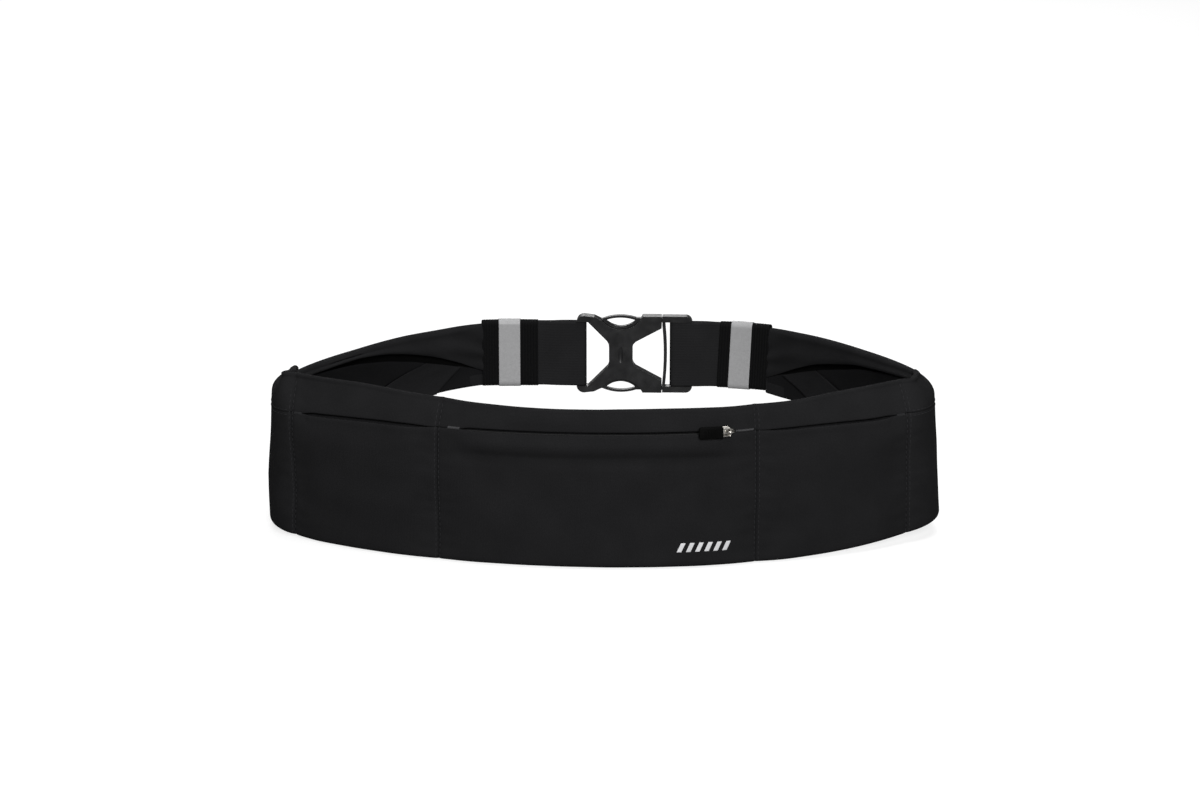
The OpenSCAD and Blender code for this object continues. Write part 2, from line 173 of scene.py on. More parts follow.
# %% Soft boxes
def soft_box(name, place, size, watts):
    """A rectangular lamp, metres wide and high, that faces the belt."""
    light = bpy.data.lights.new(name, "AREA")
    light.shape = "RECTANGLE"
    light.size = size[0]
    light.size_y = size[1]
    light.energy = watts
    lamp = bpy.data.objects.new(name, light)
    scene.collection.objects.link(lamp)
    lamp.location = place
    lamp.rotation_mode = "QUATERNION"
    lamp.rotation_quaternion = (Vector((0, 0, 0.05)) - Vector(place)).to_track_quat("-Z", "Y")


soft_box("front_box", (0.3, -2.8, 1.3), (0.9, 0.8), 76)
soft_box("top_box", (0.2, -0.2, 2.2), (1.2, 1.2), 30)
soft_box("back_box", (-0.4, 2.4, 1.4), (1.4, 0.9), 24)

# %% [markdown]
# ## Fabrics
# The body is a polyester-elastane knit: matt, almost without gloss, with a very fine grid of
# loops. Real loops are about 0.35 mm apart, too fine for a picture of the whole belt, so they
# are drawn at 0.9 mm. The grid follows the cloth by a "cloth" attribute that each sheet
# carries, in millimetres along and up the fabric. An image texture would need an unwrapped
# mesh; two sine waves along that attribute need none and stay the same size everywhere.


# %% Coordinates of the cloth
def cloth_axes(tree):
    """The sheet's own coordinates in millimetres, as two sockets."""
    cloth = add(tree, "ShaderNodeAttribute", attribute_name="cloth")
    parts = add(tree, "ShaderNodeSeparateXYZ", {0: cloth.outputs["Vector"]})
    return cloth.outputs["Vector"], parts.outputs[0], parts.outputs[1]


def sine_rows(tree, axis, pitch, shift=None):
    """A sine wave of that pitch along an axis, with an optional phase from another socket."""
    turns = add(tree, "ShaderNodeMath", {0: axis, 1: math.tau / pitch}, operation="MULTIPLY")
    if shift is not None:
        turns = add(tree, "ShaderNodeMath", {0: turns.outputs[0], 1: shift}, operation="ADD")
    return add(tree, "ShaderNodeMath", {0: turns.outputs[0]}, operation="SINE").outputs[0]


# %% Knitted fabric
LOOP_RELIEF = 0.05                     # how far a loop stands out, in millimetres


def knit(name, code, wale=0.9, course=0.7):
    """Jersey: columns of loops, each row's loops bent into a V by the column's own wave."""
    made, tree, out = new_material(name)
    cloth, along, up = cloth_axes(tree)
    columns = sine_rows(tree, along, wale)
    loops = sine_rows(tree, up, course, columns)
    height = add(tree, "ShaderNodeMath", {0: columns, 1: loops}, operation="ADD")
    cloudy = add(tree, "ShaderNodeTexNoise", {"Vector": cloth, "Scale": 0.045, "Detail": 4.0})
    fuzz = add(tree, "ShaderNodeTexNoise", {"Vector": cloth, "Scale": 1.6, "Detail": 2.0})
    mixed = add(tree, "ShaderNodeMath", {0: cloudy.outputs[0], 1: fuzz.outputs[0]},
                operation="ADD")
    tone = add(tree, "ShaderNodeMapRange", {0: mixed.outputs[0], 1: 0.7, 2: 1.3, 3: 0.86, 4: 1.14})
    shade = add(tree, "ShaderNodeVectorMath", {0: hex_colour(code)[:3], "Scale": tone.outputs[0]},
                operation="SCALE")
    bump = add(tree, "ShaderNodeBump", {"Height": height.outputs[0], "Strength": 0.55,
               "Distance": LOOP_RELIEF * MM})
    skin = add(tree, "ShaderNodeBsdfPrincipled",
               {"Base Color": shade.outputs[0], "Roughness": 0.9, "Specular IOR Level": 0.05,
                "Normal": bump.outputs[0]})
    tree.links.new(skin.outputs[0], out.inputs[0])
    return made


# Piece-dyed black jersey: an even charcoal; the lining knit below is painted a shade darker.
shell_knit = knit("polyester_elastane_knit", "#1d1d1e")
# The same yarn, painted darker as shade, so the sleeves' inner wedge and cuff pleats read as
# recessed.
lining_knit = knit("lining_painted_darker", "#171718", wale=1.1, course=0.9)
# Elastic webbing knitted with a filling yarn: a little paler, with long flat rows.
strap_knit = knit("knitted_elastic_webbing", "#222223", wale=0.8, course=1.6)
# Open mesh over a dark tunnel: nearly no light comes back out.
# Painted shade: a near-black sheet inside each sleeve, so the gap under the flap reads as deep
# shadow.
painted_shade_sheet = knit("painted_shade_sheet_knit", "#070707")
print("knits ready: shell, lining, strap and mesh")

# %% [markdown]
# The cuffs are woven ribbed elastic, almost dead black because light is lost between the ribs.
# The safety tape is a woven carrier coated with glass beads: pale grey, finely grained, with a
# low satin gloss. Beads are 0.06 mm, so their sparkle is drawn at 0.5 mm.


# %% Ribbed elastic
def ribbed_elastic():
    made, tree, out = new_material("woven_ribbed_elastic")
    cloth, _, up = cloth_axes(tree)
    picks = sine_rows(tree, up, 0.8)
    fray = add(tree, "ShaderNodeTexNoise", {"Vector": cloth, "Scale": 1.2, "Detail": 3.0})
    tone = add(tree, "ShaderNodeMapRange", {0: fray.outputs[0], 1: 0.3, 2: 0.7, 3: 0.7, 4: 1.3})
    shade = add(tree, "ShaderNodeVectorMath",
                {0: hex_colour("#080809")[:3], "Scale": tone.outputs[0]}, operation="SCALE")
    bump = add(tree, "ShaderNodeBump", {"Height": picks, "Strength": 0.5, "Distance": 0.08 * MM})
    skin = add(tree, "ShaderNodeBsdfPrincipled",
               {"Base Color": shade.outputs[0], "Roughness": 0.8, "Specular IOR Level": 0.12,
                "Normal": bump.outputs[0]})
    tree.links.new(skin.outputs[0], out.inputs[0])
    return made


elastic_rib = ribbed_elastic()


# %% Reflective tape
def bead_tape():
    made, tree, out = new_material("glass_bead_reflective_tape")
    cloth = cloth_axes(tree)[0]
    beads = add(tree, "ShaderNodeTexVoronoi", {"Vector": cloth, "Scale": 2.0})
    weave = add(tree, "ShaderNodeTexNoise", {"Vector": cloth, "Scale": 0.5, "Detail": 5.0})
    mixed = add(tree, "ShaderNodeMath", {0: beads.outputs["Distance"], 1: weave.outputs[0]},
                operation="ADD")
    tone = add(tree, "ShaderNodeMapRange", {0: mixed.outputs[0], 1: 0.5, 2: 1.3, 3: 0.9, 4: 1.1})
    shade = add(tree, "ShaderNodeVectorMath",
                {0: hex_colour("#9b9b9c")[:3], "Scale": tone.outputs[0]}, operation="SCALE")
    bump = add(tree, "ShaderNodeBump", {"Height": beads.outputs["Distance"], "Strength": 0.25,
               "Distance": 0.05 * MM})
    skin = add(tree, "ShaderNodeBsdfPrincipled",
               {"Base Color": shade.outputs[0], "Roughness": 0.5, "Normal": bump.outputs[0]})
    tree.links.new(skin.outputs[0], out.inputs[0])
    return made


reflective = bead_tape()
print("ribbed elastic and reflective tape ready")

# %% [markdown]
# The small hard parts and the threads have one colour each. What makes them look real is a fine
# grain in the height and a slow change in the gloss, so one function makes them all.


# %% One-colour finishes
def plain_finish(name, code, rough, metallic=0.0, grain=0.3, grain_depth=0.02, specular=0.5):
    """A moulded, cast, printed or spun surface: one colour with a fine grain of that size."""
    made, tree, out = new_material(name)
    point = add(tree, "ShaderNodeTexCoord")
    specks = add(tree, "ShaderNodeTexNoise",
                 {"Vector": point.outputs["Object"], "Scale": 1 / (grain * MM), "Detail": 3.0})
    worn = add(tree, "ShaderNodeTexNoise",
               {"Vector": point.outputs["Object"], "Scale": 1 / (6 * MM), "Detail": 4.0})
    tone = add(tree, "ShaderNodeMapRange", {0: worn.outputs[0], 1: 0.3, 2: 0.7, 3: 0.9, 4: 1.1})
    shade = add(tree, "ShaderNodeVectorMath",
                {0: hex_colour(code)[:3], "Scale": tone.outputs[0]}, operation="SCALE")
    gloss = add(tree, "ShaderNodeMapRange",
                {0: worn.outputs[0], 1: 0.3, 2: 0.7, 3: rough - 0.06, 4: rough + 0.06})
    bump = add(tree, "ShaderNodeBump", {"Height": specks.outputs[0], "Strength": 0.3,
               "Distance": grain_depth * MM})
    skin = add(tree, "ShaderNodeBsdfPrincipled",
               {"Base Color": shade.outputs[0], "Roughness": gloss.outputs[0],
                "Metallic": metallic, "Normal": bump.outputs[0]})
    skin.inputs["Specular IOR Level"].default_value = specular
    tree.links.new(skin.outputs[0], out.inputs[0])
    return made


# %% Threads and print
# Spun polyester has a soft gloss along the twist, so a dense tack catches the light.
thread = plain_finish("spun_polyester_thread", "#3a3a3c", 0.6, grain=0.2, grain_depth=0.05)
# The needle thread is matt black: its row is only just paler than the cloth.
dull_thread = plain_finish("black_sewing_thread", "#262628", 0.75, grain=0.2, grain_depth=0.05,
                           specular=0.2)
# A looper thread is crimped and fluffy, so it has no gloss and sinks into the seam.
looper_thread = plain_finish("textured_looper_thread", "#18181a", 0.85, grain=0.2,
                             grain_depth=0.05, specular=0.1)
# A heat-pressed film: pale, smooth and slightly satin.
print_ink = plain_finish("heat_transfer_print", "#d2d2d4", 0.45, grain=0.4)
print("threads and print ready")

# %% [markdown]
# The buckle is acetal, moulded against a lightly spark-eroded steel face: smooth with a soft
# gloss that is a little uneven. The slider is a zinc casting with bright nickel plate, which
# mirrors the soft boxes. The pull is soft matt PVC and the coil is drawn nylon.

# %% Plastics and metal
acetal = plain_finish("moulded_acetal", "#1b1b1c", 0.36, grain=0.35, grain_depth=0.03)
nickel = plain_finish("nickel_plated_zinc", "#bdbab4", 0.27, metallic=1.0, grain=0.5)
# Moulded against a blasted face: deep black, with almost no highlight.
pull_rubber = plain_finish("moulded_pvc", "#040404", 0.75, grain=0.25, grain_depth=0.03,
                           specular=0.06)
# One drawn thread: smooth enough for a thin line of light along the coil.
coil_nylon = plain_finish("nylon_monofilament", "#0d0d0e", 0.4, grain=0.5)
print(len(bpy.data.materials), "materials so far")

# %% [markdown]
# ## The loop in plan
# In plan each half of the closed belt is four tangent arcs and a straight run: a long front
# curve, a tight side bend, a flat flank and a shoulder. A curve object could carry the sheets
# too, but a table of points, spaced evenly round the loop, turns a distance along the belt into
# a place and an outward direction at once.

# %% Loop sizes
FRONT_R = 300.0
SIDE_R = 35.0
SHOULDER_R = 110.0
SHOULDER_TURN = math.radians(40)
STRAIGHT_HALF = 54.0
STRAP_DEPTH = 2.3                      # of the straps' middle plane behind the outer face
WALL = 5.4                             # outer cloth, pocket gap and lining together
CLOTH = 1.2
loop_w = (cad_box[1].x - cad_box[0].x) / MM
front_y = cad_box[0].y / MM
socket_lo, socket_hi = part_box("buckle_socket")
back_y = (socket_lo.y + socket_hi.y) / 2 / MM + STRAP_DEPTH
print(f"loop {loop_w:.0f} mm wide, from y {front_y:.1f} to {back_y:.1f} mm")


# %% Loop table
def loop_table(step=0.25):
    """Distance, x, y and outward normal along the right half, from the front middle."""
    front_c = np.array([0, front_y + FRONT_R])
    side_x = (loop_w / 2 - SIDE_R) / (1 - SIDE_R / FRONT_R)
    turn = math.asin(side_x / FRONT_R)
    side_c = front_c + (FRONT_R - SIDE_R) * np.array([math.sin(turn), -math.cos(turn)])
    shoulder_c = np.array([STRAIGHT_HALF, back_y - SHOULDER_R])
    lean_dir = np.array([math.sin(SHOULDER_TURN), math.cos(SHOULDER_TURN)])
    across = shoulder_c - side_c
    shift = ((SHOULDER_R - SIDE_R) ** 2 - across @ across) / (
        2 * (across @ lean_dir + SHOULDER_R - SIDE_R))
    flank_c = shoulder_c + shift * lean_dir
    flank_0 = math.atan2(*(side_c - flank_c)[::-1])
    flank_1 = math.pi / 2 - SHOULDER_TURN
    arcs = [(front_c, FRONT_R, -math.pi / 2, turn - math.pi / 2),
            (side_c, SIDE_R, turn - math.pi / 2, flank_0),
            (flank_c, SHOULDER_R - shift, flank_0, flank_1),
            (shoulder_c, SHOULDER_R, flank_1, math.pi / 2)]
    rows, ends, total = [], [], 0.0
    for centre, radius, start, stop in arcs:
        length = radius * (stop - start)
        at = np.arange(0, length, step)
        angle = start + at / radius
        normal = np.stack([np.cos(angle), np.sin(angle)], 1)
        rows.append(np.column_stack([total + at, centre + radius * normal, normal]))
        total += length
        ends.append(total)
    rows.append([[total, STRAIGHT_HALF, back_y, 0, 1],
                 [total + STRAIGHT_HALF, 0, back_y, 0, 1]])
    return np.vstack(rows), ends, total + STRAIGHT_HALF


LOOP, arc_ends, HALF = loop_table()
FLANK = arc_ends[1]
print(f"loop {2 * HALF:.0f} mm round; the flanks start {FLANK:.0f} mm from the front middle")


# %% [markdown]
# Every sheet is placed by distance, height and depth, and its outline is a curve through a few
# points. Two more helpers give a smooth step and soft uneven waves, for drape and folds.


# %% Places and curves
def place(s, z, d, shift_x=0.0):
    """Points in millimetres at distance s (left is negative), height z and depth d."""
    away = np.abs(s)
    x, y, nx, ny = (np.interp(away, LOOP[:, 0], LOOP[:, i]) for i in (1, 2, 3, 4))
    side = np.where(s < 0, -1.0, 1.0)
    return np.stack([side * (x - nx * (d - shift_x)), y - ny * d, z + 0 * s], -1)


def along_front(x):
    """Distance round the loop of a point that many millimetres to the side on the front."""
    return FRONT_R * math.asin(x / FRONT_R)


def curve(points, blur=7):
    """A smooth function through a few chosen points, rounded off over blur millimetres."""
    xs, ys = np.array(points, float).T
    reach = np.arange(-3 * blur, 3 * blur + 1)
    weight = np.exp(-0.5 * (reach / blur) ** 2)
    grid = np.arange(xs[0], xs[-1] + 1)
    wide = np.interp(np.arange(xs[0] - 3 * blur, xs[-1] + 3 * blur + 1), xs, ys)
    values = np.convolve(wide, weight / weight.sum(), "valid")[:len(grid)]
    return lambda at: np.interp(at, grid, values)


def step_up(x, low, high):
    """A smooth step from 0 at low to 1 at high."""
    t = np.clip((x - low) / (high - low), 0, 1)
    return t * t * (3 - 2 * t)


def ripple(s, z, seed, size, count=7):
    """Soft uneven waves of about that size, between -1 and 1, the same on every run."""
    rng = np.random.default_rng(seed)
    total = 0
    for _ in range(count):
        angle = rng.uniform(0, math.pi)
        length = size * rng.uniform(0.6, 1.6)
        phase = rng.uniform(0, 7)
        along = s * math.cos(angle) + z * math.sin(angle)
        total = total + np.sin(math.tau / length * along + phase)
    return total / count * 1.6


print("front seam line at 88 mm lies", round(along_front(88), 2), "mm round the loop")

# %% [markdown]
# ## How the cloth stands
# The pockets stand upright, but the elastic in the top edge is shorter than the pockets below it,
# so the rim leans in, most of all at the front corners. Along each vertical seam the thread pulls
# the cloth into a groove with small puckers beside it, and between the seams it swells a little.
# The left and right halves hang a little differently, so each has its own curves.

# %% Seams, rim, mouths and base
SEAM_IN = along_front(88)
SEAM_OUT = along_front(173)
SEAMS = [-SEAM_OUT, -SEAM_IN, SEAM_IN, SEAM_OUT]
MOUTH_Z = 75.5
rim_left = curve([(0, 88.3), (40, 88.8), (80, 89.6), (105, 90.6), (138, 92), (170, 91.8),
                  (205, 91.6), (FLANK, 90.4)])
rim_right = curve([(0, 88.3), (80, 88.6), (115, 88.8), (142, 90.2), (175, 91), (205, 91.6),
                   (FLANK, 91)])
lean_left = curve([(0, 4), (40, 4), (78, 7), (105, 11), (138, 17), (165, 18), (205, 16),
                   (FLANK, 13), (FLANK + 60, 8), (FLANK + 110, 2), (HALF - 75, 0)])
lean_right = curve([(0, 4), (80, 3.5), (115, 7), (142, 13), (172, 17), (205, 13),
                    (FLANK, 10), (FLANK + 60, 7), (FLANK + 100, 2), (HALF - 98, 0)])
mouth_left = curve([(0, MOUTH_Z), (78, MOUTH_Z), (92, 74.8), (130, 74), (184, 72),
                    (HALF, 72)], 5)
mouth_right = curve([(0, MOUTH_Z), (78, MOUTH_Z), (92, 74.6), (130, 74.3), (165, 73.6),
                     (184, 74.6), (HALF, 75)], 5)
lift_left = curve([(0, 0), (170, 0), (200, 1.5), (FLANK, 5)])
lift_right = curve([(0, 0), (105, 0), (140, 1.6), (165, 3.6), (185, 5.3), (205, 7.6),
                    (FLANK, 10.5)])


def by_side(left, right, s):
    """The left half's curve or the right half's, by the sign of the distance."""
    return np.where(s < 0, left(np.abs(s)), right(np.abs(s)))


def rim_z(s):
    return by_side(rim_left, rim_right, s)


def base_z(s):
    return by_side(lift_left, lift_right, s)


def mouth_z(s):
    return by_side(mouth_left, mouth_right, s)


print("rim", [round(float(rim_z(np.array(s))), 1) for s in (-FLANK, 0.0, FLANK)], "mm high")


# %% Lean
def lean(s, z):
    """How far the wall has come in at height z: nothing low down, all of it at the rim."""
    top = rim_z(s)
    away = np.abs(s)
    start = 72 - 14 * step_up(away, SEAM_IN - 10, SEAM_IN + 40) * (1 - step_up(away, 165, 200))
    start = start + 7 * step_up(away, 192, 214)
    share = np.clip((z - start) / (top - start), 0, 1.2)
    curl = by_side(lean_left, lean_right, s) * share ** (1.7 + 0.4 * step_up(away, 165, 200))
    slope = 3.4 * step_up(-s, 188, 212) * np.clip((z - 30) / 50, 0, 1)
    return curl + slope


def seam_hold(s, z):
    """How much of the lean the side seams, sewn to the stiff side panels, don't follow sideways."""
    away = np.abs(s)
    held = step_up(away, 100, 165) * (1 - step_up(away, 190, 214))
    return lean(s, z) * held * np.where(s < 0, 0.9, 0.45)


def on_front(s, z, d):
    """A place on the front or sides, with the side seams held upright."""
    return place(s, z, d, seam_hold(s, z))


print("lean at the rim beside the seams",
      [round(float(lean(np.array(s), rim_z(np.array(s)))), 1) for s in SEAMS])

# %% [markdown]
# Swell, seam grooves, puckers, the crease under the zip and the slow drape are heights that add
# up. They are real displacement of the sheet, not bump, so that they also show at its outline.


# %% Relief
def relief(s, z):
    """How far the outer cloth stands proud of a smooth wall."""
    gap = np.min([np.abs(s - seam) for seam in SEAMS], axis=0)
    at_side = step_up(np.abs(s), SEAM_OUT, SEAM_OUT + 20)
    swell = (1.5 - 0.9 * at_side) * (1 - np.exp(-(gap / 13) ** 2)) - 0.9
    groove = 0.8 * np.exp(-(gap / 1.3) ** 2)
    pucker = np.sin(math.tau * z / 9 + 2 * ripple(s, z, 3, 30)) * np.exp(-gap / 6)
    pucker *= 0.5 * (1 - np.exp(-(gap / 4) ** 2))
    flare = 2.2 * step_up(s, 188, 212) * (1 - z / 42)
    drape = (1.1 * ripple(s, z, 5, 85) + 0.3 * ripple(s, z, 8, 26)) * (1 - 0.6 * at_side)
    middle = 1 - step_up(np.abs(s), 62, 84)
    crease = middle * (1.9 * np.exp(-((z - 61) / 3.2) ** 2) - 1.2 * np.exp(-((z - 68) / 4) ** 2))
    runner = 1 - (1 - step_up(np.abs(s), 78, 86)) * np.exp(-((z - MOUTH_Z) / 5) ** 2)
    return (swell + drape) * runner - groove + pucker * runner - crease + flare


print("swell halfway between the seams", round(float(relief(np.array(0.0), np.array(40.0))), 2))


# %% Outer face and open mouths
def face(s, z):
    """Depth of the outer face."""
    return lean(s, z) - relief(s, z)


def mouth_gap(s):
    """How far a pocket's mouth stands open: the zip's slot, and a slit on each side pocket."""
    zip_slot = 1.6 * step_up(s, -76, -70) * (1 - step_up(s, 74, 80))
    away = np.abs(s)
    slit = np.where(s < 0, 1.6, 1.2) * step_up(away, SEAM_IN + 1, SEAM_IN + 20) * (
        1 - step_up(away, SEAM_OUT - 16, SEAM_OUT - 7))
    return zip_slot + slit - 0.1


print("zip slot", round(float(mouth_gap(np.array(0.0))), 2), "mm")

# %% [markdown]
# ## Making a sheet
# A sheet of cloth is a grid of points on its middle surface, thickened to both sides, with a
# half-round edge all the way round so that it catches light as a folded edge does. A Solidify
# modifier would do the thickness, but not the round edge or the millimetres for the knit.


# %% New pieces
def grid_normals(points):
    """Unit normals of a grid, and its steps both ways."""
    across = np.gradient(points, axis=0)
    up = np.gradient(points, axis=1)
    normal = np.cross(across, up)
    size = np.linalg.norm(normal, axis=-1, keepdims=True)
    return normal / size, across, up


def new_piece(name, points, faces, material, body, cloth=None, replaces=()):
    """A mesh object from points in millimetres, riding on a body, with its cloth coordinates."""
    mesh = bpy.data.meshes.new(name)
    mesh.from_pydata((np.asarray(points) * MM).tolist(), [], [tuple(f) for f in faces])
    mesh.materials.append(material)
    mesh.shade_smooth()
    if cloth is not None:
        layer = mesh.attributes.new("cloth", "FLOAT_VECTOR", "POINT")
        layer.data.foreach_set("vector", np.asarray(cloth, np.float32).ravel())
    piece = bpy.data.objects.new(name, mesh)
    scene.collection.objects.link(piece)
    if body:
        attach(piece, body)
    if replaces:
        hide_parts(*replaces)
    return piece


# %% Thickness and round edges
def sheet_shell(points, thick, cloth):
    """Closed mesh data of a sheet: both faces and a half-round rim."""
    m, n = points.shape[:2]
    normal, across, up = grid_normals(points)
    half = (np.broadcast_to(thick, (m, n)) / 2)[..., None]
    ring = ([(i, 0) for i in range(m)] + [(m - 1, j) for j in range(1, n)]
            + [(i, n - 1) for i in range(m - 2, -1, -1)] + [(0, j) for j in range(n - 2, 0, -1)])
    rows, cols = np.array(ring).T
    out = (-across[rows, cols] * (rows == 0)[:, None]
           + across[rows, cols] * (rows == m - 1)[:, None]
           - up[rows, cols] * (cols == 0)[:, None]
           + up[rows, cols] * (cols == n - 1)[:, None])
    flat = normal[rows, cols]
    out -= flat * np.sum(out * flat, -1, keepdims=True)
    out /= np.linalg.norm(out, axis=-1, keepdims=True)
    rims = [points[rows, cols] + half[rows, cols] * (flat * math.cos(a) + out * math.sin(a))
            for a in (math.pi / 4, math.pi / 2, 3 * math.pi / 4)]
    every = np.vstack([(points + normal * half).reshape(-1, 3),
                       (points - normal * half).reshape(-1, 3), *rims])
    index = np.arange(m * n).reshape(m, n)
    quads = np.stack([index[:-1, :-1], index[1:, :-1], index[1:, 1:], index[:-1, 1:]], -1)
    quads = quads.reshape(-1, 4)
    edge = rows * n + cols
    around = np.arange(len(ring))
    loops = [edge, *(2 * m * n + k * len(ring) + around for k in range(3)), m * n + edge]
    faces = [quads, quads[:, ::-1] + m * n]
    for a, b in zip(loops, loops[1:]):
        faces.append(np.stack([a, b, np.roll(b, -1), np.roll(a, -1)], -1))
    marks = np.vstack([cloth.reshape(-1, 3)] * 2 + [cloth[rows, cols]] * 3)
    return every, np.vstack(faces), marks


# %% Sewing a sheet
def cloth_map(s, points):
    """Millimetres along and up a sheet, for the knit."""
    steps = np.linalg.norm(np.diff(points, axis=1), axis=-1)
    up = np.concatenate([np.zeros((points.shape[0], 1)), np.cumsum(steps, axis=1)], axis=1)
    return np.stack([np.broadcast_to(s, up.shape), up, np.zeros_like(up)], -1)


def sew(name, s, z, d, material, slot, thick=CLOTH, replaces=(), lay=on_front):
    """A sheet laid out by distance, height and depth."""
    s, z, d = np.broadcast_arrays(s, z, d)
    points = lay(s, z, d)
    every, faces, marks = sheet_shell(points, thick, cloth_map(s, points))
    print(name, len(faces), "faces")
    return new_piece(name, every, faces, material, "waistband", marks, replaces)


# %% [markdown]
# ## Pockets
# Each pocket front is one piece of knit. At the mouth it ends in a folded lip; at the bottom it
# turns under and runs a little way up inside, where the lining is sewn to it.

# %% A front sheet, from mouth to hem
BASE_ROLL = (WALL - CLOTH) / 2
TURN_UP = 9.0                          # how far the cloth runs up inside


def front_sheet(s, count=52):
    """Heights and depths down the outside, round the bottom and a little way up inside."""
    lip = mouth_z(s) - mouth_gap(s) / 2 - CLOTH / 2
    low = base_z(s) + BASE_ROLL + CLOTH / 2
    t = np.linspace(0, 1, count)[None, :]
    z_out = lip[:, None] + (low - lip)[:, None] * t
    pout = 0.5 * np.exp(-((z_out - lip[:, None]) / 2.2) ** 2) * (mouth_gap(s)[:, None] > 0.8)
    d_out = face(s[:, None], z_out) + CLOTH / 2 - pout * (np.abs(s)[:, None] > SEAM_IN)
    turn = np.linspace(0, math.pi, 9)[None, 1:]
    first = d_out[:, -1:]
    roll = (WALL - CLOTH / 2 - first) / 2
    z_roll = low[:, None] - BASE_ROLL * np.sin(turn)
    d_roll = first + roll * (1 - np.cos(turn))
    rise = np.linspace(0, 1, 5)[None, 1:]
    z_in = low[:, None] + (TURN_UP - BASE_ROLL) * rise
    d_in = np.repeat(WALL - CLOTH / 2 + 0 * low[:, None], 4, 1)
    return np.hstack([z_out, z_roll, z_in]), np.hstack([d_out, d_roll, d_in])


# %% Pocket fronts and side panels
def front_panel(name, s0, s1, replaces, step=1.25):
    """A pocket front or side panel between two distances."""
    s = np.linspace(s0, s1, int(abs(s1 - s0) / step) + 2)
    z, d = front_sheet(s)
    return sew(name, s[:, None], z, d, shell_knit, "shell_knit", replaces=replaces)


SEAM_GAP = 0.35
front_panel("pocket_center_front", -SEAM_IN + SEAM_GAP, SEAM_IN - SEAM_GAP, ("pocket_center",))
front_panel("pocket_left_front", -SEAM_OUT + SEAM_GAP, -SEAM_IN - SEAM_GAP, ("pocket_left",))
front_panel("pocket_right_front", SEAM_IN + SEAM_GAP, SEAM_OUT - SEAM_GAP, ("pocket_right",))
front_panel("side_panel_left_skin", -FLANK, -SEAM_OUT - SEAM_GAP, ("side_panel_left",))
front_panel("side_panel_right_skin", SEAM_OUT + SEAM_GAP, FLANK, ("side_panel_right",))

# %% [markdown]
# ## Top band and lining
# The band above the mouths is folded in half over elastic: its outer half shows above the
# pockets, it turns over at the rim, and its inner half is sewn to the top of the lining.

# %% Top band
RIM_ROLL = 1.5
BAND_TUCK = 12.0                       # how far the band's inner half runs below the mouths


def band_sheet(s):
    """Heights and depths up the outside, over the rim and down the inside."""
    low = mouth_z(s) + mouth_gap(s) / 2 + CLOTH / 2
    top = rim_z(s) - CLOTH / 2 - RIM_ROLL
    t = np.linspace(0, 1, 14)[None, :]
    z_out = low[:, None] + (top - low)[:, None] * t
    d_out = face(s[:, None], z_out) + CLOTH / 2
    turn = np.linspace(0, math.pi, 9)[None, 1:]
    z_roll = top[:, None] + RIM_ROLL * np.sin(turn)
    d_roll = d_out[:, -1:] + RIM_ROLL * (1 - np.cos(turn))
    fall = np.linspace(0, 1, 12)[None, 1:]
    z_in = top[:, None] + (mouth_z(s) - BAND_TUCK - top)[:, None] * fall
    inner = lean(s[:, None], z_in) + WALL - CLOTH / 2
    start = d_roll[:, -1:] - lean(s[:, None], top[:, None]) - WALL + CLOTH / 2
    d_in = inner + start * (1 - fall) ** 1.5
    return np.hstack([z_out, z_roll, z_in]), np.hstack([d_out, d_roll, d_in])


s_band = np.linspace(-FLANK, FLANK, 380)
sew("top_band_fold", s_band[:, None], *band_sheet(s_band), shell_knit, "shell_knit",
    replaces=("top_band",))

# %% Lining
s_line = np.linspace(-FLANK, FLANK, 300)[:, None]
line_low = base_z(s_line) + TURN_UP + 1.2
line_top = mouth_z(s_line) - BAND_TUCK - 1.3
z_line = line_low + (line_top - line_low) * np.linspace(0, 1, 40)[None, :]
d_line = lean(s_line, z_line) + WALL - CLOTH / 2 + 0.35 * ripple(s_line, z_line, 21, 60)
sew("lining_sheet", s_line, z_line, d_line, lining_knit, "lining_knit",
    replaces=("lining", "bottom_hem", "divider_seams"))
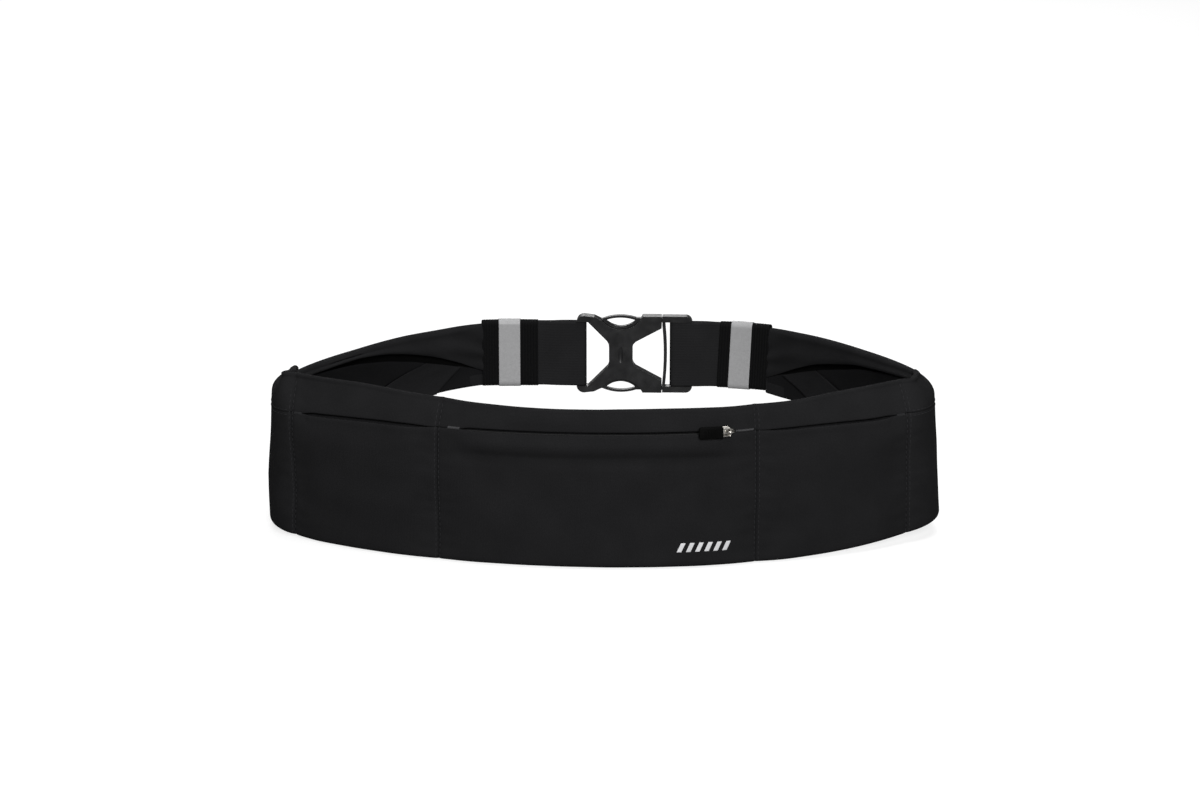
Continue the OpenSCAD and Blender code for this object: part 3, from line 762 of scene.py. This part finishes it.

# %% [markdown]
# ## Rear sleeves
# Behind the hips the belt narrows to the strap. The outer cloth rolls over the top and hangs down
# inside as a loose flap; below it the inner layers are gathered in overlapping pleats. The gap
# under the flap is a real one, and a near-black sheet inside it paints its shadow deeper. Each
# edge is a curve through a few points, by distance from the middle of the back.

# %% Sleeve outlines
# Each sleeve has its side, where its cuff starts and ends and where the tape starts, the rim's
# lean, its top edge, the flap's lower edge, the gap under the flap, its hem, the upper and lower
# end of each pleat's edge as (distance, height), and how far the cuff is askew.
far = HALF - FLANK
WINGS = {
    "left": dict(
        side=-1, cuff=43.0, end=76.4, tape=53.4, lean=lean_left,
        top=curve([(70, 90.4), (92, 89.4), (107, 88), (147, 87), (170, 86.4), (far, 86.8)]),
        flap=curve([(70, 60), (80, 63), (91, 67.8), (107, 73), (127, 77.2), (147, 80.4),
                    (170, 82.2), (far, 82)], 4),
        gap=curve([(70, 0.4), (80, 1.4), (92, 3.6), (110, 5.6), (150, 6), (175, 5), (far, 1.5)], 4),
        low=curve([(70, 52.6), (91, 50.6), (108, 48.6), (118, 46.4), (135, 38), (155, 27),
                   (175, 16), (far, 5)], 5),
        pleats=[((115, 69.5), (145, 59.5)), ((93, 64), (107, 51.5))], slant=0.0),
    "right": dict(
        side=1, cuff=66.4, end=97.2, tape=73.2, lean=lean_right,
        top=curve([(94, 90.4), (104, 90.2), (118, 89.8), (150, 89.5), (175, 89.6), (far, 90.2)]),
        flap=curve([(94, 59.3), (104, 63), (118, 69), (135, 74.4), (153, 77.6), (172, 81),
                    (far, 85)], 4),
        gap=curve([(94, 0.4), (102, 1.2), (115, 3.4), (132, 4.8), (160, 4.8), (182, 3.6),
                   (far, 1.2)], 4),
        low=curve([(94, 51), (104, 48.4), (122, 46.6), (132, 43), (150, 31), (172, 18),
                   (far, 5)], 5),
        pleats=[((138, 67.5), (159, 57)), ((113, 61.5), (133, 49))], slant=1.0),
}
STRAP_Z = 72.0                         # height of the straps' middle
GATHER_L = 26.0                        # how far the cuff's gathering reaches into the sleeve
print("sleeves", [round(far - wing["end"], 1) for wing in WINGS.values()], "mm long")


# %% How a sleeve stands
def gathered(wing, b):
    """1 at the cuff, fading to 0 where the sleeve hangs free."""
    return 1 - step_up(b, wing["end"], wing["end"] + GATHER_L)


def slanted(wing, b, z):
    """A cuff sits a little askew, and pulls the sleeve's gathered end round with it."""
    return wing["side"] * (HALF - b - wing["slant"] * (z - STRAP_Z) / 20 * gathered(wing, b))


def wing_lean(wing, b, z):
    """Lean of a sleeve: it follows the rim's, and fades out at the cuff."""
    top = wing["top"](b)
    share = np.clip((z - 52) / (top - 52), 0, 1.2)
    return wing["lean"](HALF - b) * share ** 1.7


def radiate(wing, b, z):
    """Soft folds that fan out from the cuff, where the cloth is gathered."""
    away = np.maximum(b - wing["end"] + 22, 4)
    angle = np.arctan2(z - 71, away)
    strength = np.exp(-((away - 34) / 26) ** 2)
    return strength * np.sin(angle * 12 + 1.2 * np.sin(angle * 5) + 0.9 * np.sin(away / 9))


print("gathering reaches", GATHER_L, "mm from each cuff")


# %% Outer cloth and its flap
HEM = 1.1                              # bend radius of the hem, at the cloth's middle


def sleeve_outer(wing, b):
    """Up the inside of the hem, under it, up the outside, over the top and down as the flap."""
    col = b[:, None]
    low = wing["low"](b)[:, None]
    top = wing["top"](b)[:, None]
    flap = wing["flap"](b)[:, None]
    near = gathered(wing, b)[:, None]
    roll = 2.5 - 0.8 * near - 1.0 * step_up(b, far - 40, far)[:, None]
    rise = np.linspace(1, 0, 5)[None, :-1]
    z_hem = low + CLOTH / 2 + HEM + 5 * rise
    turn = np.linspace(math.pi, 0, 7)[None, :-1]
    z_under = low + CLOTH / 2 + HEM - HEM * np.sin(turn)
    t = np.linspace(0, 1, 34)[None, :]
    z_out = (low + CLOTH / 2 + HEM) + (top - CLOTH / 2 - roll - low - CLOTH / 2 - HEM) * t
    fold = 0.9 * ripple(col, z_out, 31, 60) * (1 - near) + 0.5 * radiate(wing, col, z_out)
    puff = 2.4 * np.exp(-((z_out - flap + 4) / 7) ** 2) * (1 - near)
    d_out = wing_lean(wing, col, z_out) + CLOTH / 2 - (fold + puff) * np.sin(math.pi * t) ** 0.5
    d_low = d_out[:, :1]
    d_hem = d_low + 2 * HEM + 0 * rise
    d_under = d_low + HEM * (1 - np.cos(turn))
    over = np.linspace(0, math.pi, 11)[None, 1:]
    z_over = top - CLOTH / 2 - roll + roll * np.sin(over)
    d_over = d_out[:, -1:] + roll * (1 - np.cos(over))
    fall = np.linspace(0, 1, 20)[None, 1:]
    z_in = (top - CLOTH / 2 - roll) + (flap - top + CLOTH / 2 + roll) * fall
    bulge = 2.2 * (1 - near) * step_up(fall, 0, 1.3) - 0.9 * fall ** 8 * (1 - near)
    d_in = d_over[:, -1:] + bulge + 0.85 * radiate(wing, col, z_in) * np.sin(math.pi * fall) ** 0.7
    return (np.hstack([z_hem, z_under, z_out, z_over, z_in]),
            np.hstack([d_hem, d_under, d_out, d_over, d_in]))


for hand, wing in WINGS.items():
    b = np.linspace(wing["end"] + 0.2, far, 150)
    z, d = sleeve_outer(wing, b)
    sew(f"rear_panel_{hand}_flap", slanted(wing, b[:, None], z), z, d, shell_knit, "shell_knit",
        replaces=(f"rear_panel_{hand}", f"rear_folds_{hand}"), lay=place)


# %% [markdown]
# Inside each sleeve lie a near-black sheet, the lining, and two slanted pleats where the cloth
# was too wide for the cuff. The near-black sheet is painted shade that darkens the gap under the
# flap. Each is its own sheet at its own depth, so that the pleats' edges cast true shadows;
# painted lines would look flat from the side.


# %% An inner layer between two edges
def pleat_line(ends, z):
    """Distance from the back middle of a pleat's edge at height z."""
    (b0, z0), (b1, z1) = ends
    line = b0 + (b1 - b0) * (z0 - z) / (z0 - z1)
    return np.clip(line, min(b0, b1) - 8, max(b0, b1) + 10)


def inner_layer(name, wing, left, right, offset, material=lining_knit, replaces=(), rise=0.0,
                tilt=0.0):
    """One inner layer between two edges, each a pleat line or a fixed distance."""
    t = np.linspace(0, 1, 26)[None, :]
    u = np.linspace(0, 1, 46)[:, None]
    guess = np.full((1, 26), 70.0)
    for _ in range(3):
        b0 = pleat_line(left, guess) if isinstance(left, tuple) else left + 0 * guess
        b1 = pleat_line(right, guess) if isinstance(right, tuple) else right + 0 * guess
        b = np.clip(b0 + (b1 - b0) * u, wing["end"] + 0.4, far)
        low = wing["low"](b) + 1.6
        high = np.minimum(wing["flap"](b) - wing["gap"](b) + rise, wing["top"](b) - 3.4)
        guess = low + (high - low) * t
    b, z = np.broadcast_arrays(b, guess)
    tight = gathered(wing, b)
    depth = offset - min(1.5, offset - SHADE_SHEET_DEPTH) * tight + tilt * (t - 0.5) * (1 - tight)
    d = wing_lean(wing, b, z) + depth + 0.25 * ripple(b, z, 41, 30)
    return sew(name, slanted(wing, b, z), z, d, material, "lining_knit", replaces=replaces,
               lay=place)


# %% Painted shade sheet, lining and pleats
SHADE_SHEET_DEPTH = 1.9
LAYER_IN = 3.8
LAYER_OUT = 6.3
for hand, wing in WINGS.items():
    first, second = wing["pleats"]
    # A near-black sheet behind the gap under each flap: painted shade.
    inner_layer(f"sleeve_painted_shade_{hand}", wing, wing["end"] + 0.5, far, SHADE_SHEET_DEPTH, painted_shade_sheet,
                rise=9)
    # Painted shade: the lining and cuff pleats are in the darker lining knit, the middle pleat in
    # the paler shell knit.
    inner_layer(f"rear_lining_{hand}_skin", wing, first, far, LAYER_IN, tilt=3.0,
                replaces=(f"rear_lining_{hand}",))
    inner_layer(f"pleat_middle_{hand}", wing, second, first, LAYER_OUT, shell_knit, tilt=-1.0)
    inner_layer(f"pleat_cuff_{hand}", wing, wing["end"] + 0.5, second, LAYER_IN)

# %% [markdown]
# ## Cuffs and reflective tape
# Each sleeve is gathered into a short band of ribbed elastic, sewn into a flat ring round the
# strap. The ribs are real, so they are modelled: the ring is a strip bent round a flattened
# outline, and its depth rises and falls with each rib.


# %% Flat rings round the straps
CUFF_T = 1.0
CUFF_ROOM = 0.3                        # between the strap and its cuff
RUN_GAP = 0.1                          # between the strap's two runs
STRAP_T = 1.4
STRAP_HALF = 19.0
RING_D0 = STRAP_DEPTH - STRAP_T - RUN_GAP / 2 - CUFF_ROOM - CUFF_T / 2
RING_D1 = STRAP_DEPTH + STRAP_T + RUN_GAP / 2 + CUFF_ROOM + CUFF_T / 2
RING_HALF = STRAP_HALF + CUFF_ROOM + CUFF_T / 2


def flat_ring(grow, count):
    """Height and depth round a flattened ring, from the middle of its outer side."""
    radius = (RING_D1 - RING_D0) / 2 + grow
    straight = RING_HALF + grow - radius
    mid_d = (RING_D0 + RING_D1) / 2
    total = 4 * straight + math.tau * radius
    at = np.linspace(0.12, total - 0.12, count)
    z, d = np.zeros(count), np.zeros(count)
    for i, a in enumerate(at):
        if a < straight:
            z[i], d[i] = a, -radius
        elif a < straight + math.pi * radius:
            turn = (a - straight) / radius
            z[i], d[i] = straight + radius * math.sin(turn), -radius * math.cos(turn)
        elif a < 3 * straight + math.pi * radius:
            z[i], d[i] = straight - (a - straight - math.pi * radius), radius
        elif a < 3 * straight + math.tau * radius:
            turn = (a - 3 * straight - math.pi * radius) / radius
            z[i], d[i] = -straight - radius * math.sin(turn), radius * math.cos(turn)
        else:
            z[i], d[i] = a - total, -radius
    return z, d, mid_d


# %% Ribbed strips
def ring_strip(name, wing, b0, b1, grow, thick, rib, material, replaces, step):
    """A strip sewn into a flat ring between two distances, with ribs across it."""
    b = np.arange(b0, b1 + step / 2, step)[:, None]
    z, d, mid_d = flat_ring(grow, 150)
    wave = rib * np.sin(math.tau * b / 1.7)
    pull = 0.5 * ripple(b, z[None, :], 51, 34)
    depth = mid_d + d[None, :] * (1 + wave / 2.5) + 0.25 * pull
    height = STRAP_Z + z[None, :] * (1 + wave / 60)
    points = place(slanted(wing, b, height), height, depth)
    every, faces, marks = sheet_shell(points, thick, cloth_map(b, points))
    return new_piece(name, every, faces, material, "waistband", marks, replaces)


TAPE_W = 12.8
for hand, wing in WINGS.items():
    ring_strip(f"cuff_{hand}_band", wing, wing["cuff"], wing["end"], 0, CUFF_T, 0.16, elastic_rib,
               (f"cuff_{hand}",), 0.28)
    first = wing["tape"]
    ring_strip(f"tape_{hand}_band", wing, first, first + TAPE_W, 0.78, 0.35, 0.0, reflective,
               (f"reflective_tape_{hand}",), 1.0)
print(f"cuff rings from {RING_D0:.2f} to {RING_D1:.2f} mm deep")

# %% [markdown]
# ## Straps
# Each strap comes out of its cuff, goes once round the buckle's bar and back into the cuff. It is
# one ribbon along that path. It stretches when the buckle is drawn; here each strap is one fixed
# mesh that rides on no body.


# %% Strap ribbons
BAR_LOOP = 3.0                         # half the thickness of the loop round the buckle's bar


def strap_path(bar, cuff):
    """Distance and depth along the ribbon: in, round the bar and back."""
    wide = BAR_LOOP - STRAP_T / 2
    close = RUN_GAP / 2 + STRAP_T / 2
    runs = []
    for side, end in ((1, cuff + 30), (-1, cuff + 9)):
        b = np.concatenate([np.linspace(bar, bar + 12, 8), np.linspace(bar + 12, cuff, 14)[1:],
                            np.linspace(cuff, end, 8)[1:]])
        spread = close + (wide - close) * (1 - step_up(b, bar + 10, cuff - 1))
        runs.append((b, STRAP_DEPTH + side * spread))
    turn = np.linspace(0, math.pi, 13)[1:-1]
    b = np.concatenate([runs[0][0][::-1], bar - wide * np.sin(turn), runs[1][0]])
    d = np.concatenate([runs[0][1][::-1], STRAP_DEPTH + wide * np.cos(turn), runs[1][1]])
    return b, d


def strap_ribbon(hand, wing, bar):
    """One strap, round its half of the buckle and into its cuff, as one fixed mesh on no body."""
    b, d = strap_path(bar, wing["cuff"])
    z = STRAP_Z + STRAP_HALF * np.linspace(-1, 1, 40)[None, :]
    free = step_up(b, bar + 3, bar + 10) * (1 - step_up(b, wing["cuff"] - 8, wing["cuff"] - 1))
    drape = 0.5 * ripple(b[:, None], 0.45 * z, 61, 26) * free[:, None]
    points = place(wing["side"] * (HALF - b[:, None]), z + 0 * drape, d[:, None] + drape)
    every, faces, marks = sheet_shell(points, STRAP_T, cloth_map(b[:, None], points))
    ribbon = new_piece(f"strap_{hand}_ribbon", every, faces, strap_knit, None,
                       marks, (f"strap_{hand}",))
    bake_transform(ribbon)
    return ribbon


# %% Both straps
BUCKLE_X = 13.0                        # the buckle sits this far from the back middle
strap_ribbon("left", WINGS["left"], 29.5 - BUCKLE_X)
strap_ribbon("right", WINGS["right"], 26.2 + BUCKLE_X)
print("straps", 2 * STRAP_HALF, "mm wide")

# %% [markdown]
# ## Buckle
# The buckle's two halves and the plug's two sprung prongs already have their true outlines, so
# they stay as they are. A small rounding of every edge, as a mould gives, catches the light.

# %% Rounded mouldings
for name in ("buckle_socket", "buckle_plug", "prong_upper", "prong_lower"):
    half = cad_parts[name]
    half.data.materials.clear()
    half.data.materials.append(acetal)
    rounding = half.modifiers.new("rounding", "BEVEL")
    rounding.width = 0.55 * MM
    rounding.segments = 3
    rounding.limit_method = "ANGLE"
    rounding.angle_limit = math.radians(35)
    rounding.use_clamp_overlap = True
    print(name, len(half.data.polygons), "faces before rounding")

# %% [markdown]
# ## Stitching
# The seams are sewn with two needles and a looper: two rows of stitches with slanted threads
# between them. A real thread is 0.25 mm; the rows are drawn up to 0.34 mm thick and the bar tacks
# 0.4 mm, so that they still read from across a room. Every stitch is a short arched bar that
# dips into the cloth at both ends.


# %% Stitch builder
def stitches(name, starts, ends, material, thick, replaces=()):
    """One mesh of many stitches, each from (s, z) to (s, z) on the outer cloth."""
    starts = np.array(starts, float)
    ends = np.array(ends, float)
    t = np.array([0, 0.14, 0.5, 0.86, 1.0])
    grow = np.array([0.45, 0.9, 1.0, 0.9, 0.45])
    arch = np.array([-0.5, 0.25, 0.5, 0.25, -0.5]) * thick
    line = starts[:, None, :] + (ends - starts)[:, None, :] * t[None, :, None]
    s, z = line[..., 0], line[..., 1]
    base = face(s, z) - arch[None, :]
    middle = on_front(s, z, base)
    normal = middle - on_front(s, z, base + 1)
    run = middle[:, -1] - middle[:, 0]
    run = run / np.linalg.norm(run, axis=-1, keepdims=True)
    across = np.cross(normal, run[:, None, :])
    across /= np.linalg.norm(across, axis=-1, keepdims=True)
    turn = np.arange(6) * math.pi / 3
    round_it = (across[:, :, None, :] * np.cos(turn)[None, None, :, None]
                + normal[:, :, None, :] * np.sin(turn)[None, None, :, None])
    points = middle[:, :, None, :] + round_it * (thick / 2 * grow)[None, :, None, None]
    one = []
    for i in range(4):
        for j in range(6):
            k = (j + 1) % 6
            one.append([i * 6 + j, i * 6 + k, i * 6 + 6 + k, i * 6 + 6 + j])
    each = 5 * 6
    last = 4 * 6
    quads = (np.array(one)[None] + each * np.arange(len(starts))[:, None, None]).reshape(-1, 4)
    faces = quads.tolist()
    for i in range(len(starts)):
        faces.append([each * i + j for j in range(5, -1, -1)])
        faces.append([each * i + last + j for j in range(6)])
    return new_piece(name, points.reshape(-1, 3), faces, material, "waistband", None,
                     replaces)


# %% Seam rows
def seam_rows(seam, low, high, gauge=1.2, pitch=3.0, length=2.3):
    """Starts and ends of a two-needle seam's straight rows, and of the slanted threads between."""
    z = np.arange(low, high - length, pitch)
    rows = [([seam + side * gauge, a], [seam + side * gauge, a + length])
            for a in z for side in (-1, 1)]
    slants = [([seam - gauge + 0.3, a + 0.4], [seam + gauge - 0.3, a + 1.6]) for a in z]
    return rows, slants


rows, slants = [], []
for seam in SEAMS:
    low = float(base_z(np.array(seam))) + 1.0
    top = float(rim_z(np.array(seam))) - 1.2
    more_rows, more_slants = seam_rows(seam, low, top)
    rows += more_rows
    slants += more_slants
stitches("seam_rows", *zip(*rows), dull_thread, thick=0.34)
stitches("seam_loops", *zip(*slants), looper_thread, thick=0.28)

# %% [markdown]
# A bar tack closes each end of a mouth: a row of short slanted threads laid side by side. The
# side panels carry two rows of stitches where the band is sewn to them.


# %% Bar tacks and side stitching
def bar_tack(s0, s1, z, height=1.5, pitch=0.5):
    """Starts and ends of a tack's threads, laid side by side."""
    along = np.arange(s0, s1, pitch)
    lean_by = 0.3
    return [([a - lean_by, z - height / 2], [a + lean_by, z + height / 2]) for a in along]


# %% Tacks and side rows
tack_z = MOUTH_Z + 0.3
tacks = bar_tack(along_front(-81.5), along_front(-75.2), tack_z)
tacks += bar_tack(along_front(76.0), along_front(86.0), tack_z, 1.2)
stitches("bar_tacks", *zip(*tacks), thread, thick=0.4, replaces=("bartacks",))
end_tacks = []
for start in (-SEAM_OUT + 2.5, SEAM_OUT - 8):
    end_tacks += bar_tack(start, start + 5.5, float(mouth_z(np.array(start + 2.75))))
stitches("end_tacks", *zip(*end_tacks), dull_thread, thick=0.36)

side_rows = []
for sign in (-1, 1):
    for b in np.arange(SEAM_OUT + 2.5, FLANK + 16, 3.0):
        for z in float(mouth_z(np.array(sign * b))) + np.array([-1.3, 1.3]):
            side_rows.append(([sign * b, z], [sign * (b + 2.3), z]))
side_rows = [r for r in side_rows if abs(r[1][0]) < FLANK]
stitches("side_rows", *zip(*side_rows), dull_thread, thick=0.32)
print(len(rows), "needle stitches,", len(slants), "loops and", len(tacks), "tack threads")

# %% [markdown]
# ## Zip
# A fine coil zip sits behind the middle pocket's mouth, smooth side out, so only a narrow dark
# line shows between the lips. The tapes are two woven strips; each row of teeth is one nylon
# thread wound into a flattened spring.


# %% Zip tapes and coils
def zip_tape_weave():
    made, tree, out = new_material("woven_zip_tape")
    cloth, along, _ = cloth_axes(tree)
    ribs = sine_rows(tree, along, 0.7)
    bump = add(tree, "ShaderNodeBump", {"Height": ribs, "Strength": 0.5, "Distance": 0.05 * MM})
    fray = add(tree, "ShaderNodeTexNoise", {"Vector": cloth, "Scale": 1.5, "Detail": 2.0})
    tone = add(tree, "ShaderNodeMapRange", {0: fray.outputs[0], 1: 0.3, 2: 0.7, 3: 0.8, 4: 1.2})
    shade = add(tree, "ShaderNodeVectorMath",
                {0: hex_colour("#101011")[:3], "Scale": tone.outputs[0]}, operation="SCALE")
    skin = add(tree, "ShaderNodeBsdfPrincipled",
               {"Base Color": shade.outputs[0], "Roughness": 0.8, "Normal": bump.outputs[0]})
    tree.links.new(skin.outputs[0], out.inputs[0])
    return made


# %% Tapes
zip_weave = zip_tape_weave()
ZIP_HALF = 74.0
TAPE_DEPTH = 1.55
s_zip = np.linspace(along_front(-ZIP_HALF - 2), along_front(ZIP_HALF + 2), 90)[:, None]
for name, low, high in (("upper", 0.7, 8.6), ("lower", -8.6, -0.7)):
    z = MOUTH_Z + np.linspace(low, high, 12)[None, :]
    sew(f"zip_tape_{name}_strip", s_zip, z, lean(s_zip, z) + TAPE_DEPTH, zip_weave, "zip_tape",
        thick=0.4, replaces=(f"zip_tape_{name}",))


# %% Wire builder
def tube(name, points, radius, material, body="waistband", sides=6, replaces=()):
    """A round wire along many points in millimetres."""
    points = np.asarray(points, float)
    run = np.gradient(points, axis=0)
    run /= np.linalg.norm(run, axis=1, keepdims=True)
    side = np.cross(run, [0.31, 0.2, 0.93])
    side /= np.linalg.norm(side, axis=1, keepdims=True)
    other = np.cross(run, side)
    turn = np.arange(sides) * math.tau / sides
    ring = (side[:, None, :] * np.cos(turn)[None, :, None]
            + other[:, None, :] * np.sin(turn)[None, :, None])
    every = (points[:, None, :] + radius * ring).reshape(-1, 3)
    faces = []
    for i in range(len(points) - 1):
        for j in range(sides):
            k = (j + 1) % sides
            faces.append([i * sides + j, i * sides + k, (i + 1) * sides + k, (i + 1) * sides + j])
    faces.append(list(range(sides - 1, -1, -1)))
    faces.append([(len(points) - 1) * sides + j for j in range(sides)])
    return new_piece(name, every, faces, material, body, None, replaces)


# %% Coils
COIL_PITCH = 1.3
COIL_H = 0.75                          # half the height of a turn
COIL_T = 0.42                          # half its thickness
COIL_DEPTH = 2.25
turns = np.arange(0, 2 * ZIP_HALF / COIL_PITCH, 1 / 9)
s_coil = along_front(-ZIP_HALF) + turns * COIL_PITCH
for name, sign in (("upper", 1), ("lower", -1)):
    phase = math.tau * turns + (math.pi if sign < 0 else 0)
    z = MOUTH_Z + sign * (1.35 - COIL_H * np.cos(phase))
    d = lean(s_coil, z) + COIL_DEPTH + COIL_T * np.sin(phase)
    tube(f"zip_coil_{name}_spring", place(s_coil, z, d), 0.2, coil_nylon, sides=5,
         replaces=(f"zip_coil_{name}",))
print("each coil has", int(turns[-1]), "turns")


# %% [markdown]
# The slider, its link and the pull are small castings and mouldings. Each is a flat outline given
# a thickness and rounded edges, in the slider's own frame: along the zip, inwards and up.


# %% Slider frame and plates
SLIDER_X = 71.0                        # how far right of the middle the slider stands
slider_turn = math.asin(SLIDER_X / FRONT_R)
slider_at = place(np.array(FRONT_R * slider_turn), np.array(MOUTH_Z + 0.8), np.array(0.0))
along_zip = np.array([math.cos(slider_turn), math.sin(slider_turn), 0])
inward = np.array([-math.sin(slider_turn), math.cos(slider_turn), 0])
upward = np.array([0, 0, 1.0])


def at_slider(points):
    """Points of the slider's own frame, placed on the belt."""
    points = np.asarray(points, float)
    return (slider_at + points[..., :1] * along_zip + points[..., 1:2] * inward
            + points[..., 2:3] * upward)


# %% Outlines and plates
def round_outline(corners, steps=5):
    """A closed outline from (x, z, radius) corners, each rounded."""
    line = []
    count = len(corners)
    for i, (x, z, radius) in enumerate(corners):
        here = np.array([x, z])
        before = np.array(corners[i - 1][:2]) - here
        after = np.array(corners[(i + 1) % count][:2]) - here
        a, b = before / np.linalg.norm(before), after / np.linalg.norm(after)
        half = math.acos(np.clip(a @ b, -1, 1)) / 2
        reach = min(radius / math.tan(half), 0.49 * np.linalg.norm(before),
                    0.49 * np.linalg.norm(after))
        for t in np.linspace(0, 1, steps):
            line.append((1 - t) ** 2 * (here + a * reach) + 2 * t * (1 - t) * here
                        + t * t * (here + b * reach))
    return np.array(line)


def plate(name, corners, y0, y1, rounding, material, body, replaces=()):
    """An outline in the slider's frame, given a thickness and rounded edges."""
    line = round_outline(corners)
    n = len(line)
    points = [[x, y, z] for y in (y0, y1) for x, z in line]
    faces = [list(range(n)), list(range(2 * n - 1, n - 1, -1))]
    faces += [[i, i + n, (i + 1) % n + n, (i + 1) % n] for i in range(n)]
    piece = new_piece(name, at_slider(points), faces, material, body, None, replaces)
    bevel = piece.modifiers.new("rounding", "BEVEL")
    bevel.width = rounding * MM
    bevel.segments = 3
    bevel.limit_method = "ANGLE"
    bevel.angle_limit = math.radians(50)
    return piece


# %% Slider castings
PIN_X, PIN_Y = 1.2, -3.2
plate("slider_shield", [(-4.2, -2.7, 1.0), (0.4, -3.0, 1.2), (2.0, -1.5, 0.8), (3.4, -1.1, 0.8),
                        (3.4, 1.1, 0.8), (2.0, 1.5, 0.8), (0.4, 3.0, 1.2), (-4.2, 2.7, 1.0)],
      -1.9, -0.5, 0.35, nickel, "slider", ("zip_slider",))
plate("slider_back", [(-4.0, -2.2, 1), (4.0, -2.6, 1), (4.0, 2.6, 1), (-4.0, 2.2, 1)],
      3.9, 4.4, 0.2, nickel, "slider")
plate("slider_neck", [(-1.6, -0.5, 0.3), (1.8, -0.5, 0.3), (1.8, 0.5, 0.3), (-1.6, 0.5, 0.3)],
      -0.6, 4.0, 0.1, nickel, "slider")
arch = np.linspace(0, math.pi, 19)
bridge = [[PIN_X + 2.4 * math.cos(a), -1.5 - 2.6 * math.sin(a), 0] for a in arch]
tube("slider_bridge", at_slider(bridge), 0.55, nickel, "slider", 10)
print("slider at", [round(float(c), 1) for c in slider_at], "mm")

# %% Link and pull
LINK_HALF, LINK_L = 2.2, 6.4
corner = [(PIN_X, -LINK_HALF, 0.8), (PIN_X, LINK_HALF, 0.8), (PIN_X - LINK_L, LINK_HALF, 0.8),
          (PIN_X - LINK_L, -LINK_HALF, 0.8)]
ring = round_outline(corner, 7)
ring = np.vstack([ring, ring[:1]])
wire = np.stack([ring[:, 0], np.full(len(ring), PIN_Y), ring[:, 1]], 1)
tube("pull_link_wire", at_slider(wire), 0.5, nickel, "pull", 10, ("zip_link",))

TAB_X, TAB_L, TAB_HALF, TAB_T = -2.9, 13.6, 3.3, 2.4
plate("pull_tab_body", [(TAB_X, -TAB_HALF, 0.9), (TAB_X, TAB_HALF, 0.9),
                        (TAB_X - TAB_L, TAB_HALF, 1.6), (TAB_X - TAB_L, -TAB_HALF, 1.6)],
      PIN_Y - TAB_T / 2, PIN_Y + TAB_T / 2, 0.7, pull_rubber, "pull",
      ("zip_pull_tab",))
for i in range(4):
    x = TAB_X - 4.4 - 1.9 * i
    plate(f"pull_tab_grip_{i}", [(x - 0.45, -2.1, 0.4), (x + 0.45, -2.1, 0.4),
                                 (x + 0.45, 2.1, 0.4), (x - 0.45, 2.1, 0.4)],
          PIN_Y - TAB_T / 2 - 0.35, PIN_Y - TAB_T / 2 + 0.3, 0.2, pull_rubber, "pull")

# %% Zip stops
for name, x in (("left", -ZIP_HALF - 1.0), ("right", ZIP_HALF + 1.0)):
    s_stop = along_front(x)
    stop = place(np.array([s_stop] * 6), MOUTH_Z + np.linspace(-2, 2, 6), np.full(6, 2.2))
    tube(f"zip_stop_{name}", stop, 0.6, nickel, sides=8,
         replaces=("zip_stops",) if name == "left" else ())

# %% [markdown]
# ## Print
# A small mark is pressed on low down at the right of the middle pocket. Here it is only a plain
# row of slanted dashes: a film 0.15 mm thick that follows the cloth.

# %% Slanted dashes
mark_lo, mark_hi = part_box("printed_mark")
DASHES = 6
DASH_PITCH = 5.05
DASH_W = 2.4
DASH_SLANT = 2.3
FILM_T = 0.15
u = np.linspace(0, 1, 5)[:, None]
v = np.linspace(0, 1, 7)[None, :]
points, faces, marks = [], [], []
for i in range(DASHES):
    z = (mark_lo.z + (mark_hi.z - mark_lo.z) * v) / MM + 0 * u
    s = along_front(mark_lo.x / MM) + DASH_PITCH * i + DASH_W * u + DASH_SLANT * v
    film = place(s, z, face(s, z) - 0.05)
    every, quads, cloth = sheet_shell(film, FILM_T, cloth_map(s, film))
    faces.append(quads + sum(len(p) for p in points))
    points.append(every)
    marks.append(cloth)
new_piece("dash_print", np.vstack(points), np.vstack(faces), print_ink, "waistband",
          np.vstack(marks), ("printed_mark",))
print("print of", len(faces), "dashes")
